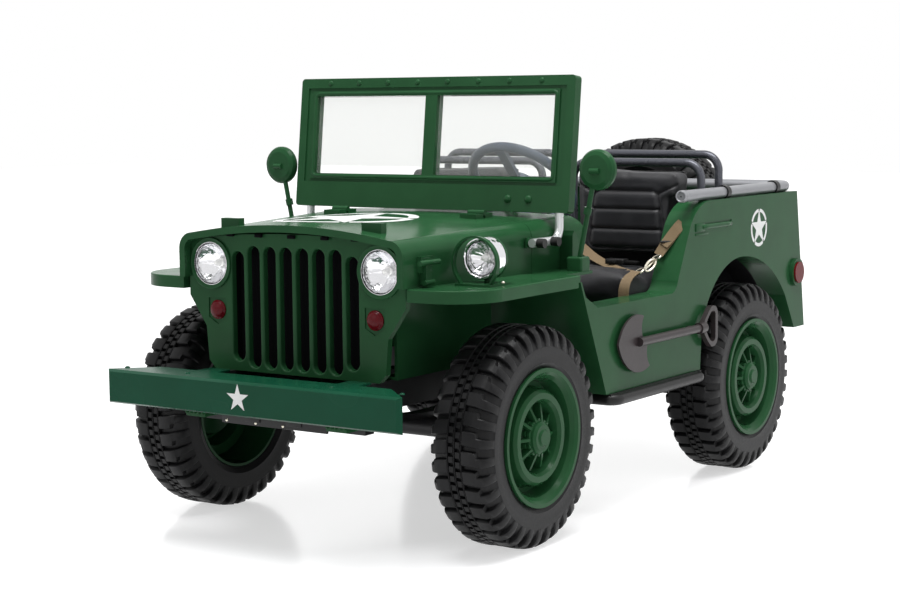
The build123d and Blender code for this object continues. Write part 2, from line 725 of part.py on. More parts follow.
# Hood fittings: rest blocks on top, hinge leaves at the rear and strap latches on the sides
rest_y = hood_front + 42
rest = box(hinge_x - 20, hinge_x + 20, rest_y - 7, rest_y + 7, hood_top_front - 12, hood_top_front + 6)
leaf_rear = hinge_y - hinge_r - run_gap
leaf = box(hinge_in, hinge_out, leaf_rear - 24, leaf_rear, hood_top_rear - 12, hinge_z - 1)
latch_y = hood_front + 50
latch_x = hood_w_front + (hood_w_rear - hood_w_front) * 0.15
latch_top = hood_bottom + 50
latch = box(latch_x - 10, latch_x + 7, latch_y - 14, latch_y + 14, latch_top - 26, latch_top)
latch += box(latch_x - 10, latch_x + 12, latch_y - 8, latch_y + 8, hood_bottom + 4, latch_top - 6)
latch += rod_y(4.5, latch_x + 13, latch_y - 27, latch_y + 27, latch_top - 10)
latch += rod_y(4.5, latch_x + 11, latch_y - 13, latch_y + 13, hood_bottom + 8)
fittings = []
for piece in (rest, leaf, latch):
    seated = piece - hood_outer
    fittings += [seated, flip(seated)]
save(Compound(children=fittings), "hood_fittings")

# Mirrors on jointed stalks from blocks on the shoulders
foot_w = 31.0
foot_top = fender_top + 25
foot = box(foot_in, foot_in + foot_w, mirror_y - 15, mirror_y + 16, fender_top, foot_top)
foot = fillet(foot.edges().filter_by(Axis.Z) + foot.edges().group_by(Axis.Z)[-1], 4)
bend_x = mirror_x - 18
bend_z = mirror_z - 71
stalk_path = [(foot_in + 19, foot_top - 1), (bend_x, bend_z), (mirror_x - 4, mirror_z - 4)]
stalk = tube([(x, mirror_y, z) for x, z in stalk_path], 4.5, 30)
joint = Pos(bend_x - 1, at(mirror_y), bend_z) * Rot(0, 14, 0) * Cylinder(7, 12)
dome_edge = [(0, 6), (mirror_r, 6), (mirror_r, 0), (mirror_r - 3, -5), (mirror_r - 10, -8), (0, -9)]
dome = revolve(make_face(Polyline(*dome_edge, close=True)), Axis.Y)
dome = Pos(mirror_x, at(mirror_y), mirror_z) * dome
lug = rod_x(5, mirror_x - 9, mirror_x + 9, mirror_y - 10, mirror_z - 2)
save(both(foot + stalk + joint + dome + lug), "mirrors")

# Steering column and wheel
wheel_x = 120.0
wheel_y = 346.0
wheel_z = 583.0
wheel_rake = 45.0
wheel_ring = 107.0
column_seat = Pos(wheel_x, at(wheel_y), wheel_z) * Rot(-wheel_rake, 0, 0)
hub_low = -21.0
column = column_seat * Pos(0, 0, hub_low - seat_gap - 50) * Cylinder(11, 100)
column -= cowl_solid
column += column_seat * Pos(0, 0, hub_low - 2) * Cylinder(6, 34)
save(column, "steering_column")
grip = Torus(wheel_ring - 9, 9)
hub = Pos(0, 0, hub_low + 13) * Cylinder(26, 26)
spokes = Pos(0, 0, -6) * Box(2 * wheel_ring - 22, 18, 8)
spokes += Pos(0, -(wheel_ring - 11) / 2, -6) * Box(18, wheel_ring - 11, 8)
hub_hole = Pos(0, 0, hub_low + 2) * Cylinder(6 + shaft_gap, 36)
steer = column_seat * (grip + hub + spokes - hub_hole)
save(steer, "steering_wheel")

# Seats: base moulding, two cushions, two backs
back_front = wheelbase - 204.0
back_t = 58.0
back_low = 430.0
back_top = 608.0
base_front = back_front - 181.0
base_rear = back_front - 10
base = box(-seat_out, seat_out, base_front, base_rear, frame_top + floor_t, seat_base_top)
base -= box(-seat_out + 5, seat_out - 5, base_front + 5, base_rear - 5, frame_top, seat_base_top - 5)
shell_y = back_front + back_t + seat_gap
shell = box(seat_in + 8, seat_out - 8, shell_y, shell_y + 12, back_low + 7, back_top - 12)
shell += box(seat_in + 8, well_in - 5, shell_y, shell_y + 12, frame_top + floor_t, back_low + 8)
save(base, "seat_base")
save(both(shell), "seat_shells")
cushion = box(seat_in, seat_out - 1, base_front - 3, back_front - 6, seat_base_top + seat_gap, back_low - 10)
cushion = fillet(cushion.edges().group_by(Axis.Z)[-1], 18)
save(both(cushion), "seat_cushions")
elbow = ledge_z + 3
back_edge = [
    (seat_in + 6, back_low), (seat_out - 2, back_low), (seat_out - 2, elbow), (wall_in + 12, elbow + 14),
    (wall_in + 12, back_top), (seat_in, back_top), (seat_in, elbow + 14),
]
back = extrude(across(back_front) * make_face(Polyline(*back_edge, close=True)), -back_t)
back = fillet(back.edges().filter_by(Axis.Y).group_by(Axis.Z)[-1], 20)
save(both(back), "seat_backs")

# Roll hoops behind each seat
hoops = []
stand_z = frame_top + floor_t + 0.2
for hoop_y, hoop_top in ((wheelbase - 124, ledge_z + 69.5), (wheelbase - 48, ledge_z + 83.5)):
    inner = [(hoop_x_in, hoop_y, stand_z), (hoop_x_in, hoop_y, hoop_top)]
    outer_leg = [(hoop_x_out, hoop_y, hoop_top), (hoop_x_out, hoop_y, ledge_z + 0.2)]
    hoops.append(tube(inner + outer_leg, hoop_r, hoop_bend))
save(Compound(children=hoops + [flip(h) for h in hoops]), "roll_hoops")

# Side rail round the load bay and its clamps
rail_z = ledge_z + rail_r + 0.3
left_side = [(side_rail_x, side_rail_front, rail_z), (side_rail_x, side_rail_rear, rail_z)]
right_side = [(-side_rail_x, side_rail_rear, rail_z), (-side_rail_x, side_rail_front, rail_z)]
side_rail = tube(left_side + right_side, rail_r, 28)
save(side_rail, "side_rail")
clamps = []
for clamp_at in (wheelbase - 74, wheelbase + 153):
    clamp = rod_y(rail_r + 3, side_rail_x, clamp_at - 7, clamp_at + 7, rail_z)
    clamp -= rod_y(rail_r + shaft_gap, side_rail_x, clamp_at - 8, clamp_at + 8, rail_z)
    clamp &= box(side_rail_x - 40, side_rail_x + 40, clamp_at - 8, clamp_at + 8, ledge_z, ledge_z + 60)
    clamps += [clamp, flip(clamp)]
save(Compound(children=clamps), "rail_clamps")

# Running boards: tubes outside the sills, turned in to the cross members
board_x = body_half + 8
board_path = [(rail_out, board_front), (board_x, board_front), (board_x, board_rear), (rail_out, board_rear)]
board = tube([(x, y, board_z) for x, y in board_path], 10, 18)
save(both(board), "running_boards")

# Shovel on the left side: curved blade, shaft and D handle, on two clips
blade_x = body_half + 6
shaft_z = 306.0
shaft_r = 8.0
handle_y = wheelbase - 218
tip_y = handle_y - 320
blade_edge = [
    ThreePointArc(*yz((tip_y + 93, shaft_z + 45), (tip_y + 21, shaft_z + 32), (tip_y, shaft_z + 2))),
    ThreePointArc(*yz((tip_y, shaft_z + 2), (tip_y + 29, shaft_z - 38), (tip_y + 115, shaft_z - 47))),
    ThreePointArc(*yz((tip_y + 115, shaft_z - 47), (tip_y + 104, shaft_z - 26), (tip_y + 106, shaft_z - 9))),
    ThreePointArc(*yz((tip_y + 106, shaft_z - 9), (tip_y + 86, shaft_z + 14), (tip_y + 93, shaft_z + 45))),
]
blade = slab_x(side_face(blade_edge), blade_x, blade_x + 4)


def grip_plan(t):
    # The neck widens in two curves to the bar across the end
    start = handle_y + t
    mid = handle_y + 20
    knee = handle_y + 32
    far = handle_y + 58 - t
    low = shaft_z - 40 + t
    high = shaft_z + 38 - t
    neck = 10 - 0.3 * t
    corner = 18 - t
    c = corner * (1 - cos(radians(45)))
    return side_face([
        ThreePointArc(*yz((start, shaft_z - neck), (mid, low + 9), (knee, low))),
        Line(*yz((knee, low), (far - corner, low))),
        ThreePointArc(*yz((far - corner, low), (far - c, low + c), (far, low + corner))),
        Line(*yz((far, low + corner), (far, high - corner))),
        ThreePointArc(*yz((far, high - corner), (far - c, high - c), (far - corner, high))),
        Line(*yz((far - corner, high), (knee, high))),
        ThreePointArc(*yz((knee, high), (mid, high - 9), (start, shaft_z + neck))),
        Line(*yz((start, shaft_z + neck), (start, shaft_z - neck))),
    ])


grip = slab_x(grip_plan(0), blade_x, blade_x + 10) - slab_x(grip_plan(10), blade_x - 1, blade_x + 11)
shaft = rod_y(shaft_r, blade_x + shaft_r - 1, tip_y + 70, handle_y + 2, shaft_z)
shaft += rod_y(shaft_r + 2.5, blade_x + shaft_r - 1, handle_y - 18, handle_y + 4, shaft_z)
clips = box(body_half, blade_x + 1, tip_y + 92, tip_y + 104, shaft_z - 6, shaft_z + 6)
clips += box(body_half, blade_x + 1, handle_y - 42, handle_y - 30, shaft_z - 6, shaft_z + 6)
save(blade + shaft + grip + clips, "shovel")

# Side reflectors in their bosses
reflector = rod_x(reflector_r, body_half + boss_h, body_half + boss_h + 4, reflector_y, reflector_z)
save(both(reflector), "side_reflectors")

# Spare wheel mount on the rear panel
post_front = slope_y(spare_z) - 2
post = rod_y(20, spare_x, post_front, spare_y - hub_in - seat_gap, spare_z)
post += rod_y(spindle_r, spare_x, post_front + 10, spare_y + spindle_end, spare_z)
post -= tub
save(post, "spare_mount")
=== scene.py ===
import bpy
import bmesh
import math
from mathutils import Matrix, Vector
from mathutils.bvhtree import BVHTree


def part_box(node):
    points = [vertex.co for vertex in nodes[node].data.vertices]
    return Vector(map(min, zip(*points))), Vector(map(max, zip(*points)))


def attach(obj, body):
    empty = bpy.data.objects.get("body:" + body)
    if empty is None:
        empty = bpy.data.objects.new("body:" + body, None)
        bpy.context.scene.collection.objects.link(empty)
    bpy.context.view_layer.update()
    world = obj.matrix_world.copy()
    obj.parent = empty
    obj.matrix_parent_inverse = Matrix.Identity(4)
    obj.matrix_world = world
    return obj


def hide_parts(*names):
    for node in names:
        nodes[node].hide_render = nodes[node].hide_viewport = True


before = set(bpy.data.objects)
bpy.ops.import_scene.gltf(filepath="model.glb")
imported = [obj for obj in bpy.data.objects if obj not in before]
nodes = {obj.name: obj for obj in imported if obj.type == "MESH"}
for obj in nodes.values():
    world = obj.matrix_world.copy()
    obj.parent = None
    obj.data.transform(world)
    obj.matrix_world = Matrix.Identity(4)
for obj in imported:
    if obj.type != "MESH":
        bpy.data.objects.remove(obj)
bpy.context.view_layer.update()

# Places are in millimetres: x to the toy's left, y from the front axle to the rear, z up from the floor
MM = 0.001
axle_low, axle_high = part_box("rim_l_front")
AXLE_Y = (axle_low[1] + axle_high[1]) / 2
BODY_HALF = 360.0
SIDES = (1, -1)
WHEELS = (("l_front", 1), ("r_front", -1), ("l_rear", 1), ("r_rear", -1))


def at(x, y, z):
    return Vector((x * MM, y * MM + AXLE_Y, z * MM))


# Camera at the photograph's place
CAMERA_PLACE = (1961.0, -2600.0, 739.0)
CAMERA_AZIMUTH = math.radians(34.23)
CAMERA_PITCH = math.radians(6.11)
CAMERA_ROLL = math.radians(-0.54)
FOCAL_PIXELS = 1879.5
IMAGE_WIDTH = 900
SENSOR = 36.0


def add_camera():
    data = bpy.data.cameras.new("camera")
    data.sensor_width = SENSOR
    data.lens = FOCAL_PIXELS * SENSOR / IMAGE_WIDTH
    camera = bpy.data.objects.new("camera", data)
    flat = math.cos(CAMERA_PITCH)
    across = math.sin(CAMERA_AZIMUTH)
    ahead = math.cos(CAMERA_AZIMUTH)
    look = Vector((-across * flat, ahead * flat, -math.sin(CAMERA_PITCH)))
    right = Vector((ahead, across, 0))
    up = right.cross(look)
    turned_right = right * math.cos(CAMERA_ROLL) + up * math.sin(CAMERA_ROLL)
    turned_up = up * math.cos(CAMERA_ROLL) - right * math.sin(CAMERA_ROLL)
    turn = Matrix((turned_right, turned_up, -look)).transposed().to_4x4()
    camera.matrix_world = Matrix.Translation(at(*CAMERA_PLACE)) @ turn
    bpy.context.scene.collection.objects.link(camera)
    bpy.context.scene.camera = camera


# Materials
NOISE_RANGE = (0.3, 0.7)
TINT_RANGE = (0.35, 0.65)
BODY_GLOSS = {"Specular_IOR_Level": 0.08, "Coat_Weight": 0.02, "Coat_Roughness": 0.05}


def material(name, color, roughness, metallic=0.0, **sockets):
    mat = bpy.data.materials.new(name)
    mat.use_nodes = True
    shader = mat.node_tree.nodes["Principled BSDF"]
    shader.inputs["Base Color"].default_value = (*color, 1.0)
    shader.inputs["Roughness"].default_value = roughness
    shader.inputs["Metallic"].default_value = metallic
    for key, value in sockets.items():
        shader.inputs[key.replace("_", " ")].default_value = value
    return mat


def object_coords(mat):
    coords = mat.node_tree.nodes.new("ShaderNodeTexCoord")
    return coords.outputs["Object"]


def noise(mat, scale, detail=3.0):
    node = mat.node_tree.nodes.new("ShaderNodeTexNoise")
    node.inputs["Scale"].default_value = scale
    node.inputs["Detail"].default_value = detail
    mat.node_tree.links.new(object_coords(mat), node.inputs["Vector"])
    return node.outputs["Fac"]


def cells(mat, scale):
    node = mat.node_tree.nodes.new("ShaderNodeTexVoronoi")
    node.inputs["Scale"].default_value = scale
    mat.node_tree.links.new(object_coords(mat), node.inputs["Vector"])
    return node.outputs["Distance"]


def shader_input(mat, socket):
    return mat.node_tree.nodes["Principled BSDF"].inputs[socket]


def spread(mat, source, socket, low, high):
    node = mat.node_tree.nodes.new("ShaderNodeMapRange")
    node.inputs["From Min"].default_value = NOISE_RANGE[0]
    node.inputs["From Max"].default_value = NOISE_RANGE[1]
    node.inputs["To Min"].default_value = low
    node.inputs["To Max"].default_value = high
    mat.node_tree.links.new(source, node.inputs["Value"])
    mat.node_tree.links.new(node.outputs["Result"], shader_input(mat, socket))


def tint(mat, source, dark, light):
    node = mat.node_tree.nodes.new("ShaderNodeValToRGB")
    for stop, position, color in zip(node.color_ramp.elements, TINT_RANGE, (dark, light)):
        stop.position = position
        stop.color = (*color, 1.0)
    mat.node_tree.links.new(source, node.inputs["Fac"])
    mat.node_tree.links.new(node.outputs["Color"], shader_input(mat, "Base Color"))


def bump(mat, source, strength, distance=0.001):
    node = mat.node_tree.nodes.new("ShaderNodeBump")
    node.inputs["Strength"].default_value = strength
    node.inputs["Distance"].default_value = distance
    mat.node_tree.links.new(source, node.inputs["Height"])
    mat.node_tree.links.new(node.outputs["Normal"], shader_input(mat, "Normal"))


def green_plastic():
    mat = material("body_green", (0.018, 0.078, 0.029), 0.20, **BODY_GLOSS)
    wave = noise(mat, 14.0, 2.0)
    tint(mat, wave, (0.0165, 0.073, 0.027), (0.0195, 0.083, 0.031))
    spread(mat, wave, "Roughness", 0.19, 0.26)
    bump(mat, noise(mat, 22.0, 1.0), 0.03, 0.002)
    return mat


def bumper_green():
    mat = material("bumper_green", (0.006, 0.062, 0.031), 0.18, **BODY_GLOSS)
    wave = noise(mat, 9.0, 2.0)
    tint(mat, wave, (0.0055, 0.058, 0.029), (0.0068, 0.066, 0.034))
    spread(mat, wave, "Roughness", 0.22, 0.30)
    return mat


def tyre_rubber():
    mat = material("tyre_rubber", (0.006, 0.006, 0.0065), 0.38, Specular_IOR_Level=0.18)
    grain = noise(mat, 260.0, 4.0)
    tint(mat, noise(mat, 20.0, 3.0), (0.0048, 0.0048, 0.0052), (0.0080, 0.0080, 0.0086))
    spread(mat, grain, "Roughness", 0.36, 0.50)
    bump(mat, grain, 0.12, 0.0006)
    return mat


def dark_plastic(name="dark_plastic", color=(0.012, 0.012, 0.012), low=0.32, high=0.44, shine=0.25):
    mat = material(name, color, low, Specular_IOR_Level=shine)
    grain = noise(mat, 320.0, 2.0)
    spread(mat, grain, "Roughness", low, high)
    bump(mat, grain, 0.10, 0.0004)
    return mat


def coated_metal(name, color, metallic, low, high):
    mat = material(name, color, low, metallic, Specular_IOR_Level=0.3)
    spread(mat, noise(mat, 35.0, 3.0), "Roughness", low, high)
    bump(mat, noise(mat, 400.0, 2.0), 0.05, 0.0003)
    return mat


def leather():
    mat = material(
        "seat_leather", (0.014, 0.014, 0.016), 0.40,
        Specular_IOR_Level=0.35, Sheen_Weight=0.08, Sheen_Roughness=0.5,
    )
    tint(mat, noise(mat, 18.0, 3.0), (0.011, 0.011, 0.013), (0.019, 0.019, 0.022))
    spread(mat, noise(mat, 80.0, 2.0), "Roughness", 0.38, 0.50)
    bump(mat, cells(mat, 520.0), 0.22, 0.0006)
    return mat


def webbing():
    mat = material("belt_webbing", (0.18, 0.125, 0.062), 0.75, Sheen_Weight=0.05)
    wave = mat.node_tree.nodes.new("ShaderNodeTexWave")
    wave.inputs["Scale"].default_value = 260.0
    wave.inputs["Distortion"].default_value = 1.5
    mat.node_tree.links.new(object_coords(mat), wave.inputs["Vector"])
    tint(mat, wave.outputs["Fac"], (0.13, 0.088, 0.042), (0.205, 0.140, 0.070))
    bump(mat, wave.outputs["Fac"], 0.35, 0.0005)
    return mat


def white_paint():
    mat = material("white_paint", (0.80, 0.81, 0.80), 0.4)
    tint(mat, noise(mat, 40.0, 3.0), (0.76, 0.77, 0.76), (0.83, 0.84, 0.83))
    return mat


def window_plastic():
    mat = material("window_clear", (0.94, 0.95, 0.935), 0.03, Transmission_Weight=0.93, IOR=1.08)
    bump(mat, noise(mat, 6.0, 1.0), 0.02, 0.002)
    return mat


def lens_plastic():
    mat = material("lamp_clear", (0.97, 0.97, 0.97), 0.02, Transmission_Weight=1.0, IOR=1.18)
    bump(mat, cells(mat, 110.0), 0.3, 0.002)
    return mat


def lamp_chrome():
    mat = material("lamp_bright", (0.80, 0.80, 0.82), 0.10, 1.0)
    bump(mat, cells(mat, 170.0), 0.18, 0.002)
    return mat


def bulb_glass():
    mat = material("bulb_glass", (0.92, 0.92, 0.90), 0.05, 0.3)
    spread(mat, noise(mat, 220.0), "Roughness", 0.03, 0.12)
    return mat


def mirror_face():
    mat = material("mirror_face", (0.86, 0.87, 0.88), 0.02, 1.0)
    spread(mat, noise(mat, 40.0), "Roughness", 0.01, 0.06)
    return mat


def red_plastic(name, color):
    mat = material(name, color, 0.16, Specular_IOR_Level=0.12, Coat_Weight=0.02)
    bump(mat, cells(mat, 300.0), 0.15, 0.001)
    return mat


GREEN = green_plastic()
BUMPER_GREEN = bumper_green()
RUBBER = tyre_rubber()
DARK = dark_plastic()
# Near-black matte plastic that hardly reflects: behind the grille slots it is painted shade for the dark
# inside of the front body; in the wheel wells and the lip pads it is their own black plastic.
SLOT_SHADE_AND_BLACK = dark_plastic("slot_shade_and_black", (0.005, 0.005, 0.006), 0.70, 0.80, 0.04)
STEEL = coated_metal("buckle_steel", (0.66, 0.62, 0.52), 0.9, 0.20, 0.32)
BULB = bulb_glass()
SHOVEL_DARK = dark_plastic("shovel_dark", (0.034, 0.027, 0.028), 0.28, 0.40)
FRAME_BLACK = coated_metal("frame_black", (0.018, 0.018, 0.019), 0.2, 0.36, 0.48)
HOOP_GREY = coated_metal("hoop_grey", (0.080, 0.083, 0.098), 0.45, 0.24, 0.34)
RAIL_GREY = coated_metal("rail_grey", (0.27, 0.275, 0.29), 0.4, 0.30, 0.42)
SILVER = coated_metal("silver_arm", (0.72, 0.73, 0.74), 0.6, 0.24, 0.34)
LEATHER = leather()
WEBBING = webbing()
WHITE = white_paint()
WINDOW = window_plastic()
LENS = lens_plastic()
CHROME = lamp_chrome()
MIRROR = mirror_face()
MARKER_RED = red_plastic("marker_red", (0.11, 0.004, 0.008))
REFLECTOR_RED = red_plastic("reflector_red", (0.13, 0.005, 0.008))
WHEEL_BLUE = dark_plastic("wheel_blue", (0.045, 0.062, 0.095), 0.30, 0.40)

# What each piece is made of
NODE_MATERIALS = {
    GREEN: (
        "front_body", "grille_panel", "hood", "hood_fittings", "tub", "side_walls", "mirrors",
        "windshield_frame", "rim_l_front", "rim_l_rear", "rim_r_front", "rim_r_rear", "spare_rim",
        "spot_guard", "spot_lamp",
    ),
    BUMPER_GREEN: ("bumper",),
    DARK: (
        "arm_knobs", "rail_clamps", "seat_base", "seat_shells", "spare_mount",
        "steering_column", "running_boards",
    ),
    # Grille backing: painted shade behind the slots; wheel wells: their black plastic
    SLOT_SHADE_AND_BLACK: ("grille_backing", "wheel_wells"),
    SHOVEL_DARK: ("shovel",),
    FRAME_BLACK: (
        "chassis_frame", "front_axle", "knuckle_l", "knuckle_r", "leaf_springs", "rear_axle", "tie_rod",
    ),
    HOOP_GREY: ("roll_hoops",),
    RAIL_GREY: ("side_rail",),
    SILVER: ("windshield_arms",),
    WINDOW: ("windshield_glass",),
    LENS: ("lamp_lenses",),
    CHROME: ("headlamps",),
    MARKER_RED: ("markers",),
    REFLECTOR_RED: ("side_reflectors",),
    WHEEL_BLUE: ("steering_wheel",),
}


def dress_nodes():
    for mat, names in NODE_MATERIALS.items():
        for name in names:
            mesh = nodes[name].data
            mesh.materials.clear()
            mesh.materials.append(mat)


# Mesh helpers: a form is (points, faces)
SHARP_ANGLE = math.radians(35)
BEVEL_PROFILE = 0.6


def piece(name, verts, faces, mat, body, slot=None, smooth=True):
    mesh = bpy.data.meshes.new(name)
    mesh.from_pydata([tuple(v) for v in verts], [], faces)
    mesh.update()
    edit = bmesh.new()
    edit.from_mesh(mesh)
    bmesh.ops.recalc_face_normals(edit, faces=edit.faces)
    edit.to_mesh(mesh)
    edit.free()
    return finish_piece(mesh, name, mat, body, smooth)


def finish_piece(mesh, name, mat, body, smooth=True):
    mesh.materials.append(mat)
    if smooth:
        mesh.shade_smooth()
        mesh.set_sharp_from_angle(angle=SHARP_ANGLE)
    made = bpy.data.objects.new(name, mesh)
    bpy.context.scene.collection.objects.link(made)
    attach(made, body)
    return made


def straight(out, side, up):
    return out, side, up


def lathe(profile, steps, place, closed=False):
    """Turns (out, radius) pairs about an axis; place maps out, side, up to a point."""
    verts = []
    faces = []
    count = len(profile)
    for out, radius in profile:
        for i in range(steps):
            angle = 2 * math.pi * i / steps
            verts.append(place(out, radius * math.cos(angle), radius * math.sin(angle)))
    for ring in range(count if closed else count - 1):
        after = (ring + 1) % count
        for i in range(steps):
            j = (i + 1) % steps
            faces.append((ring * steps + i, ring * steps + j, after * steps + j, after * steps + i))
    return verts, faces


def block(low, high, bevel=0.0, segments=2):
    """A box with rounded edges between two corners in metres, the bevel in millimetres."""
    edit = bmesh.new()
    bmesh.ops.create_cube(edit, size=1.0)
    low = Vector(low)
    high = Vector(high)
    for v in edit.verts:
        v.co = Vector([(v.co[i] + 0.5) * (high[i] - low[i]) + low[i] for i in range(3)])
    if bevel:
        bmesh.ops.bevel(
            edit, geom=edit.edges[:], offset=bevel * MM, segments=segments, affect="EDGES",
            profile=BEVEL_PROFILE,
        )
    edit.verts.index_update()
    points = [v.co.copy() for v in edit.verts]
    faces = [tuple(v.index for v in f.verts) for f in edit.faces]
    edit.free()
    return points, faces


def side_block(side, low, high, bevel):
    """A block on one side of the toy; its corners are the left side's, in millimetres."""
    x_low, x_high = sorted((side * low[0], side * high[0]))
    return block(at(x_low, *low[1:]), at(x_high, *high[1:]), bevel)


def flip(form):
    """The same form on the toy's other side."""
    points, faces = form
    return [Vector((-p.x, p.y, p.z)) for p in points], [tuple(reversed(face)) for face in faces]


def smooth_line(points, parts=6):
    """Points on a smooth curve through the given ones."""
    points = [Vector(p) for p in points]
    line = []
    for i in range(len(points) - 1):
        before = points[max(i - 1, 0)]
        after = points[min(i + 2, len(points) - 1)]
        a, b = points[i], points[i + 1]
        for k in range(parts):
            t = k / parts
            line.append(
                0.5 * (2 * a + (b - before) * t + (2 * before - 5 * a + 4 * b - after) * t * t
                       + (3 * a - before - 3 * b + after) * t * t * t)
            )
    line.append(points[-1])
    return line


# How far each end ring of a tube stands out, and its own radius, as shares of the radius
TUBE_ENDS = ((0.35, 0.80), (0.55, 0.35))


def tube(points, radius, steps=12, closed=False):
    """A round bar along a line of points in metres, its ends domed."""
    count = len(points)
    verts = []
    faces = []
    side = None
    rings = []
    for i, point in enumerate(points):
        before = points[i - 1] if i or closed else point
        after = points[(i + 1) % count] if i < count - 1 or closed else point
        run = (after - before).normalized()
        side = run.orthogonal() if side is None else side - run * side.dot(run)
        side.normalize()
        rings.append((point, run, side.copy(), radius))
    if not closed:
        first, last = rings[0], rings[-1]
        for out, share in TUBE_ENDS:
            rings.insert(0, (first[0] - first[1] * radius * out * MM, first[1], first[2], radius * share))
            rings.append((last[0] + last[1] * radius * out * MM, last[1], last[2], radius * share))
    for point, run, across, reach in rings:
        other = run.cross(across)
        for k in range(steps):
            angle = 2 * math.pi * k / steps
            verts.append(point + (across * math.cos(angle) + other * math.sin(angle)) * reach * MM)
    total = len(rings)
    for i in range(total if closed else total - 1):
        j = (i + 1) % total
        for k in range(steps):
            m = (k + 1) % steps
            faces.append((i * steps + k, i * steps + m, j * steps + m, j * steps + k))
    if not closed:
        faces.append(tuple(range(steps)))
        faces.append(tuple(range(len(verts) - 1, len(verts) - 1 - steps, -1)))
    return verts, faces


# A strap's section, as shares of its width and thickness
STRAP_SECTION = (
    (-0.5, -0.2), (-0.47, -0.5), (0.47, -0.5), (0.5, -0.2),
    (0.5, 0.2), (0.47, 0.5), (-0.47, 0.5), (-0.5, 0.2),
)


def ribbon(points, facing, width, thick):
    """A flat strap along a line of points, its face turned to the facing directions."""
    verts = []
    faces = []
    count = len(STRAP_SECTION)
    facings = smooth_line(facing, max(1, (len(points) - 1) // (len(facing) - 1)))
    for i, point in enumerate(points):
        run = (points[min(i + 1, len(points) - 1)] - points[max(i - 1, 0)]).normalized()
        across = run.cross(facings[min(i, len(facings) - 1)]).normalized()
        normal = across.cross(run).normalized()
        for u, v in STRAP_SECTION:
            verts.append(point + (across * u * width + normal * v * thick) * MM)
    for i in range(len(points) - 1):
        for k in range(count):
            m = (k + 1) % count
            faces.append((i * count + k, i * count + m, (i + 1) * count + m, (i + 1) * count + k))
    faces.append(tuple(range(count)))
    faces.append(tuple(range(len(verts) - 1, len(verts) - 1 - count, -1)))
    return verts, faces


def join_forms(forms):
    verts = []
    faces = []
    for some_verts, some_faces in forms:
        start = len(verts)
        verts += some_verts
        faces += [tuple(start + i for i in face) for face in some_faces]
    return verts, faces


# Tyres: carcass, shoulder lugs on both sides and two rows of small blocks between three ridges
LUGS = 36
FLOOR_R = 177.5
CARCASS = (
    (-50, 113.5), (-53.5, 121), (-55, 124), (-54.4, 126), (-56, 140), (-55.6, 150.5), (-54.4, 152),
    (-53.0, 157), (-49.5, 163.5), (-44, 170.5), (-37, 175.5), (-14, FLOOR_R), (0, FLOOR_R), (14, FLOOR_R),
    (37, 175.5), (44, 170.5), (49.5, 163.5), (53.0, 157), (54.4, 152), (55.6, 150.5), (56, 140),
    (54.4, 126), (55, 124), (53.5, 121), (50, 113.5), (40, 112.6), (0, 112.6), (-40, 112.6),
)
# Each section: out, top radius, foot radius, leading and trailing edge as shares of the pitch
LUG_SECTIONS = (
    (14.2, 184.4, 176.0, -0.35, 0.35), (16.2, 185.0, 176.0, -0.36, 0.36), (30.0, 185.0, 174.0, -0.34, 0.40),
    (38.4, 183.9, 172.5, -0.30, 0.43), (39.6, 182.8, 172.0, -0.04, 0.44), (44.5, 180.2, 168.0, -0.02, 0.46),
    (48.6, 176.6, 163.0, 0.0, 0.47), (51.8, 171.6, 158.0, 0.02, 0.48), (54.2, 165.0, 153.5, 0.03, 0.48),
    (55.2, 158.6, 151.5, 0.05, 0.47), (55.6, 154.0, 151.0, 0.08, 0.45),
)
LUG_SHIFT = 0.25
LUG_CHAMFER = 1.3
LUG_EDGE = 1.4
LUG_CORNERS = 6
RIDGE = ((-0.8, 176.0), (-0.8, 184.0), (-0.4, 184.6), (0.4, 184.6), (0.8, 184.0), (0.8, 176.0))
RIDGE_PLACES = (-12.7, 0.0, 12.7)
SMALL_OUT = (2.2, 10.6)
SMALL_RADII = (176.0, 183.8)
SMALL_HALF = 0.30
SMALL_FACES = ((0, 1, 5, 4), (2, 6, 7, 3), (0, 4, 6, 2), (1, 3, 7, 5), (0, 2, 3, 1), (4, 5, 7, 6))


def around(out, radius, angle):
    return out, radius * math.cos(angle), radius * math.sin(angle)


def lug_form(side, number):
    pitch = 2 * math.pi / LUGS
    centre = pitch * (number + side * LUG_SHIFT)
    verts = []
    for x, top, base, start, end in LUG_SECTIONS:
        chamfer = LUG_CHAMFER / top
        first = centre + start * pitch
        last = centre + end * pitch
        for radius, angle in (
            (base, first - chamfer), (top - LUG_EDGE, first), (top, first + chamfer),
            (top, last - chamfer), (top - LUG_EDGE, last), (base, last + chamfer),
        ):
            verts.append(around(side * x, radius, angle))
    faces = []
    for section in range(len(LUG_SECTIONS) - 1):
        for j in range(section * LUG_CORNERS, section * LUG_CORNERS + LUG_CORNERS - 1):
            faces.append((j, j + 1, j + LUG_CORNERS + 1, j + LUG_CORNERS))
    faces.append(tuple(range(LUG_CORNERS)))
    faces.append(tuple(range(len(verts) - 1, len(verts) - LUG_CORNERS - 1, -1)))
    return verts, faces


def small_block(row, number):
    pitch = math.pi / LUGS
    middle = pitch * (number + LUG_SHIFT * row)
    half = pitch * SMALL_HALF
    verts = [
        around(row * out, radius, angle)
        for out in SMALL_OUT for radius in SMALL_RADII for angle in (middle - half, middle + half)
    ]
    return verts, SMALL_FACES


def tyre_form():
    forms = [lathe(CARCASS, LUGS * 4, straight, closed=True)]
    for middle in RIDGE_PLACES:
        forms.append(lathe([(x + middle, r) for x, r in RIDGE], LUGS * 3, straight, closed=True))
    forms += [lug_form(side, k) for side in (-1, 1) for k in range(LUGS)]
    forms += [small_block(row, k) for row in (-1, 1) for k in range(LUGS * 2)]
    return join_forms(forms)


def centre_of(node):
    low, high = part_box(node)
    return (Vector(low) + Vector(high)) / 2


